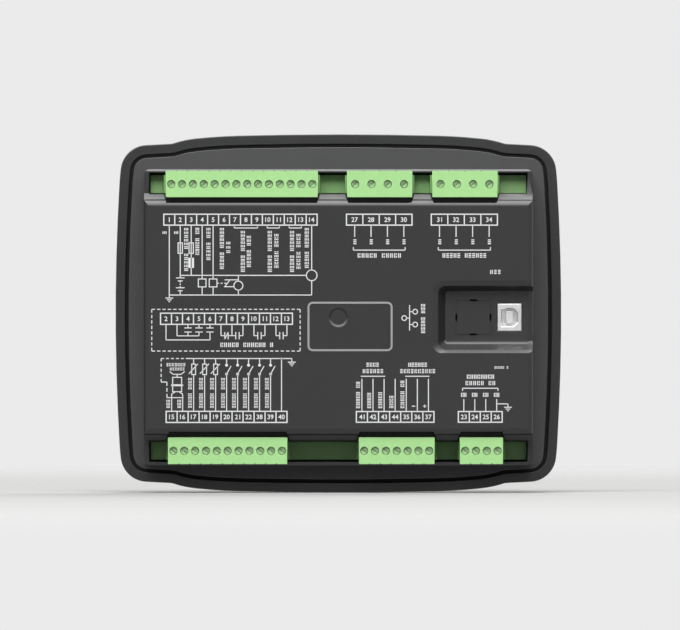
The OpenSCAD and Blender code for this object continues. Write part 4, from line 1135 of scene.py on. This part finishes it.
class CONTROLLER_OT_stage(bpy.types.Operator):
    """Sets the floor, the lamps, the background and the camera."""
    bl_idname = "controller.stage"
    bl_label = "Stage"

    def execute(self, context):
        scene, sizes = context.scene, context.scene.controller_stage
        self.floor(sizes)
        self.background(scene, sizes)
        middle = (CAD_BOX[0] + CAD_BOX[1]) / 2
        for name, watts, towards in (("rear_fill", sizes.rear_power, REAR_FILL),
                                     ("front_fill", sizes.front_power, FRONT_FILL)):
            fill_lamp(name, watts, sizes.fill_w, middle + towards * sizes.fill_far, middle)
        self.camera(scene, sizes)
        scene.view_settings.view_transform = "Standard"
        return {"FINISHED"}

    def floor(self, sizes):
        """A round pale floor that fades out towards its edge."""
        shape = bmesh.new()
        bmesh.ops.create_circle(shape, cap_ends=True, segments=FLOOR_SIDES, radius=sizes.floor_r)
        mesh = bpy.data.meshes.new("floor")
        shape.to_mesh(mesh)
        shape.free()
        piece = link(bpy.data.objects.new("floor", mesh))
        piece.location = (0, 0, CAD_BOX[0].z)
        piece.visible_glossy = False
        piece.visible_diffuse = False
        paper = Finish(
            moulded_grain(), sizes.floor_tone, mottle=0.03, rough=0.9, spread=0.05, grain=400.0, bump=0.05)
        material = make_finish("floor_paper", paper, Specular_IOR_Level=0.0)
        tree = material.node_tree
        shader = next(n for n in tree.nodes if n.type == "BSDF_PRINCIPLED")
        output = next(n for n in tree.nodes if n.type == "OUTPUT_MATERIAL")
        coords = place(tree, "ShaderNodeTexCoord")
        far = place(tree, "ShaderNodeVectorMath", operation="LENGTH")
        join(tree, coords, "Object", far, 0)
        between = [part * sizes.floor_r for part in FLOOR_FADE]
        fade = ramp(tree, far, "Value", between, shape="SMOOTHSTEP")
        clear = place(tree, "ShaderNodeBsdfTransparent")
        mix = place(tree, "ShaderNodeMixShader")
        join(tree, fade, "Result", mix, 0)
        join(tree, shader, "BSDF", mix, 1)
        join(tree, clear, "BSDF", mix, 2)
        join(tree, mix, "Shader", output, "Surface")
        mesh.materials.append(material)

    def background(self, scene, sizes):
        """A pale background, a weaker light from all sides, and lights that only reflections show."""
        world = bpy.data.worlds.new("studio")
        scene.world = world
        world.use_nodes = True
        tree = world.node_tree
        tree.nodes.clear()
        tone = (*sizes.sky_tone, 1.0)
        seen = place(tree, "ShaderNodeBackground", {"Color": tone, "Strength": 1.0})
        light = place(tree, "ShaderNodeBackground", {"Color": tone, "Strength": sizes.sky_light})
        mirrored = place(tree, "ShaderNodeBackground", {"Color": tone})
        coords = place(tree, "ShaderNodeTexCoord")
        axes = place(tree, "ShaderNodeSeparateXYZ")
        join(tree, coords, "Generated", axes, 0)
        wall = ramp(tree, axes, "Y", WALL_FADE, 1.0, WALL_SHARE, "SMOOTHSTEP")
        above = ramp(tree, axes, "Z", (0.0, 1.0), sizes.sky_side, sizes.sky_top, "SMOOTHSTEP")
        below = ramp(tree, axes, "Z", BELOW_FADE, sizes.sky_floor, sizes.sky_side)
        height = place(tree, "ShaderNodeMath", operation="MAXIMUM")
        join(tree, above, "Result", height, 0)
        join(tree, below, "Result", height, 1)
        right = ramp(tree, axes, "X", RIGHT_FADE, high=sizes.sky_right)
        ahead = ramp(tree, axes, "Y", AHEAD_FADE)
        strip = place(tree, "ShaderNodeMath", operation="MULTIPLY")
        join(tree, right, "Result", strip, 0)
        join(tree, ahead, "Result", strip, 1)
        card = place(tree, "ShaderNodeMath", operation="MULTIPLY_ADD")
        join(tree, wall, "Result", card, 0)
        join(tree, height, 0, card, 1)
        join(tree, strip, 0, card, 2)
        join(tree, card, 0, mirrored, "Strength")
        rays = place(tree, "ShaderNodeLightPath")
        either = place(tree, "ShaderNodeMath", operation="MAXIMUM")
        join(tree, rays, "Is Camera Ray", either, 0)
        join(tree, rays, "Is Transmission Ray", either, 1)
        glossy = place(tree, "ShaderNodeMixShader")
        join(tree, rays, "Is Glossy Ray", glossy, 0)
        join(tree, light, "Background", glossy, 1)
        join(tree, mirrored, "Background", glossy, 2)
        mix = place(tree, "ShaderNodeMixShader")
        join(tree, either, 0, mix, 0)
        join(tree, glossy, "Shader", mix, 1)
        join(tree, seen, "Background", mix, 2)
        output = place(tree, "ShaderNodeOutputWorld")
        join(tree, mix, "Shader", output, "Surface")

    def camera(self, scene, sizes):
        """A level camera straight behind the unit, with the photograph's framing."""
        data = bpy.data.cameras.new("camera")
        eye = link(bpy.data.objects.new("camera", data))
        aside = (IMAGE_PX[0] / 2 - MIDDLE_PX[0]) / PX_PER_MM * MM
        up = (MIDDLE_PX[1] - IMAGE_PX[1] / 2) / PX_PER_MM * MM
        mean_y = (CAD_BOX[0].y + CAD_BOX[1].y) / 2
        eye.location = (aside, mean_y - sizes.camera_far, up)
        eye.rotation_euler = (math.radians(90), 0, 0)
        seen_w = IMAGE_PX[0] / PX_PER_MM * MM
        data.sensor_fit = "HORIZONTAL"
        data.lens = data.sensor_width * sizes.camera_far / seen_w
        scene.camera = eye


OPERATORS = (
    CONTROLLER_OT_stage, CONTROLLER_OT_case, CONTROLLER_OT_terminals, CONTROLLER_OT_data_port,
    CONTROLLER_OT_rear_print, CONTROLLER_OT_front, CONTROLLER_OT_keys, CONTROLLER_OT_inner,
)


class CONTROLLER_PT_looks(bpy.types.Panel):
    """Lists the pieces and their settings in the sidebar."""
    bl_idname = "CONTROLLER_PT_looks"
    bl_label = "Genset controller"
    bl_space_type = "VIEW_3D"
    bl_region_type = "UI"
    bl_category = "Controller"

    def draw(self, context):
        for made in OPERATORS:
            self.layout.operator(made.bl_idname)
        for group in SETTINGS:
            settings = getattr(context.scene, group)
            box = self.layout.box()
            for name in settings.__annotations__:
                box.prop(settings, name)


SETTINGS = {
    "controller_colours": ControllerColours,
    "controller_edges": ControllerEdges,
    "controller_print": ControllerPrint,
    "controller_stage": ControllerStage,
}
CLASSES = (*SETTINGS.values(), *OPERATORS, CONTROLLER_PT_looks)


def register():
    """Registers the classes and the scene's settings."""
    for made in CLASSES:
        bpy.utils.register_class(made)
    for name, group in SETTINGS.items():
        setattr(bpy.types.Scene, name, bpy.props.PointerProperty(type=group))


def unregister():
    """Removes the scene's settings and the classes."""
    for name in SETTINGS:
        delattr(bpy.types.Scene, name)
    for made in reversed(CLASSES):
        bpy.utils.unregister_class(made)


def main():
    """Makes every piece."""
    register()
    bpy.ops.controller.stage()
    bpy.ops.controller.case()
    bpy.ops.controller.terminals()
    bpy.ops.controller.data_port()
    bpy.ops.controller.rear_print()
    bpy.ops.controller.front()
    bpy.ops.controller.keys()
    bpy.ops.controller.inner()


if __name__ == "__main__":
    main()
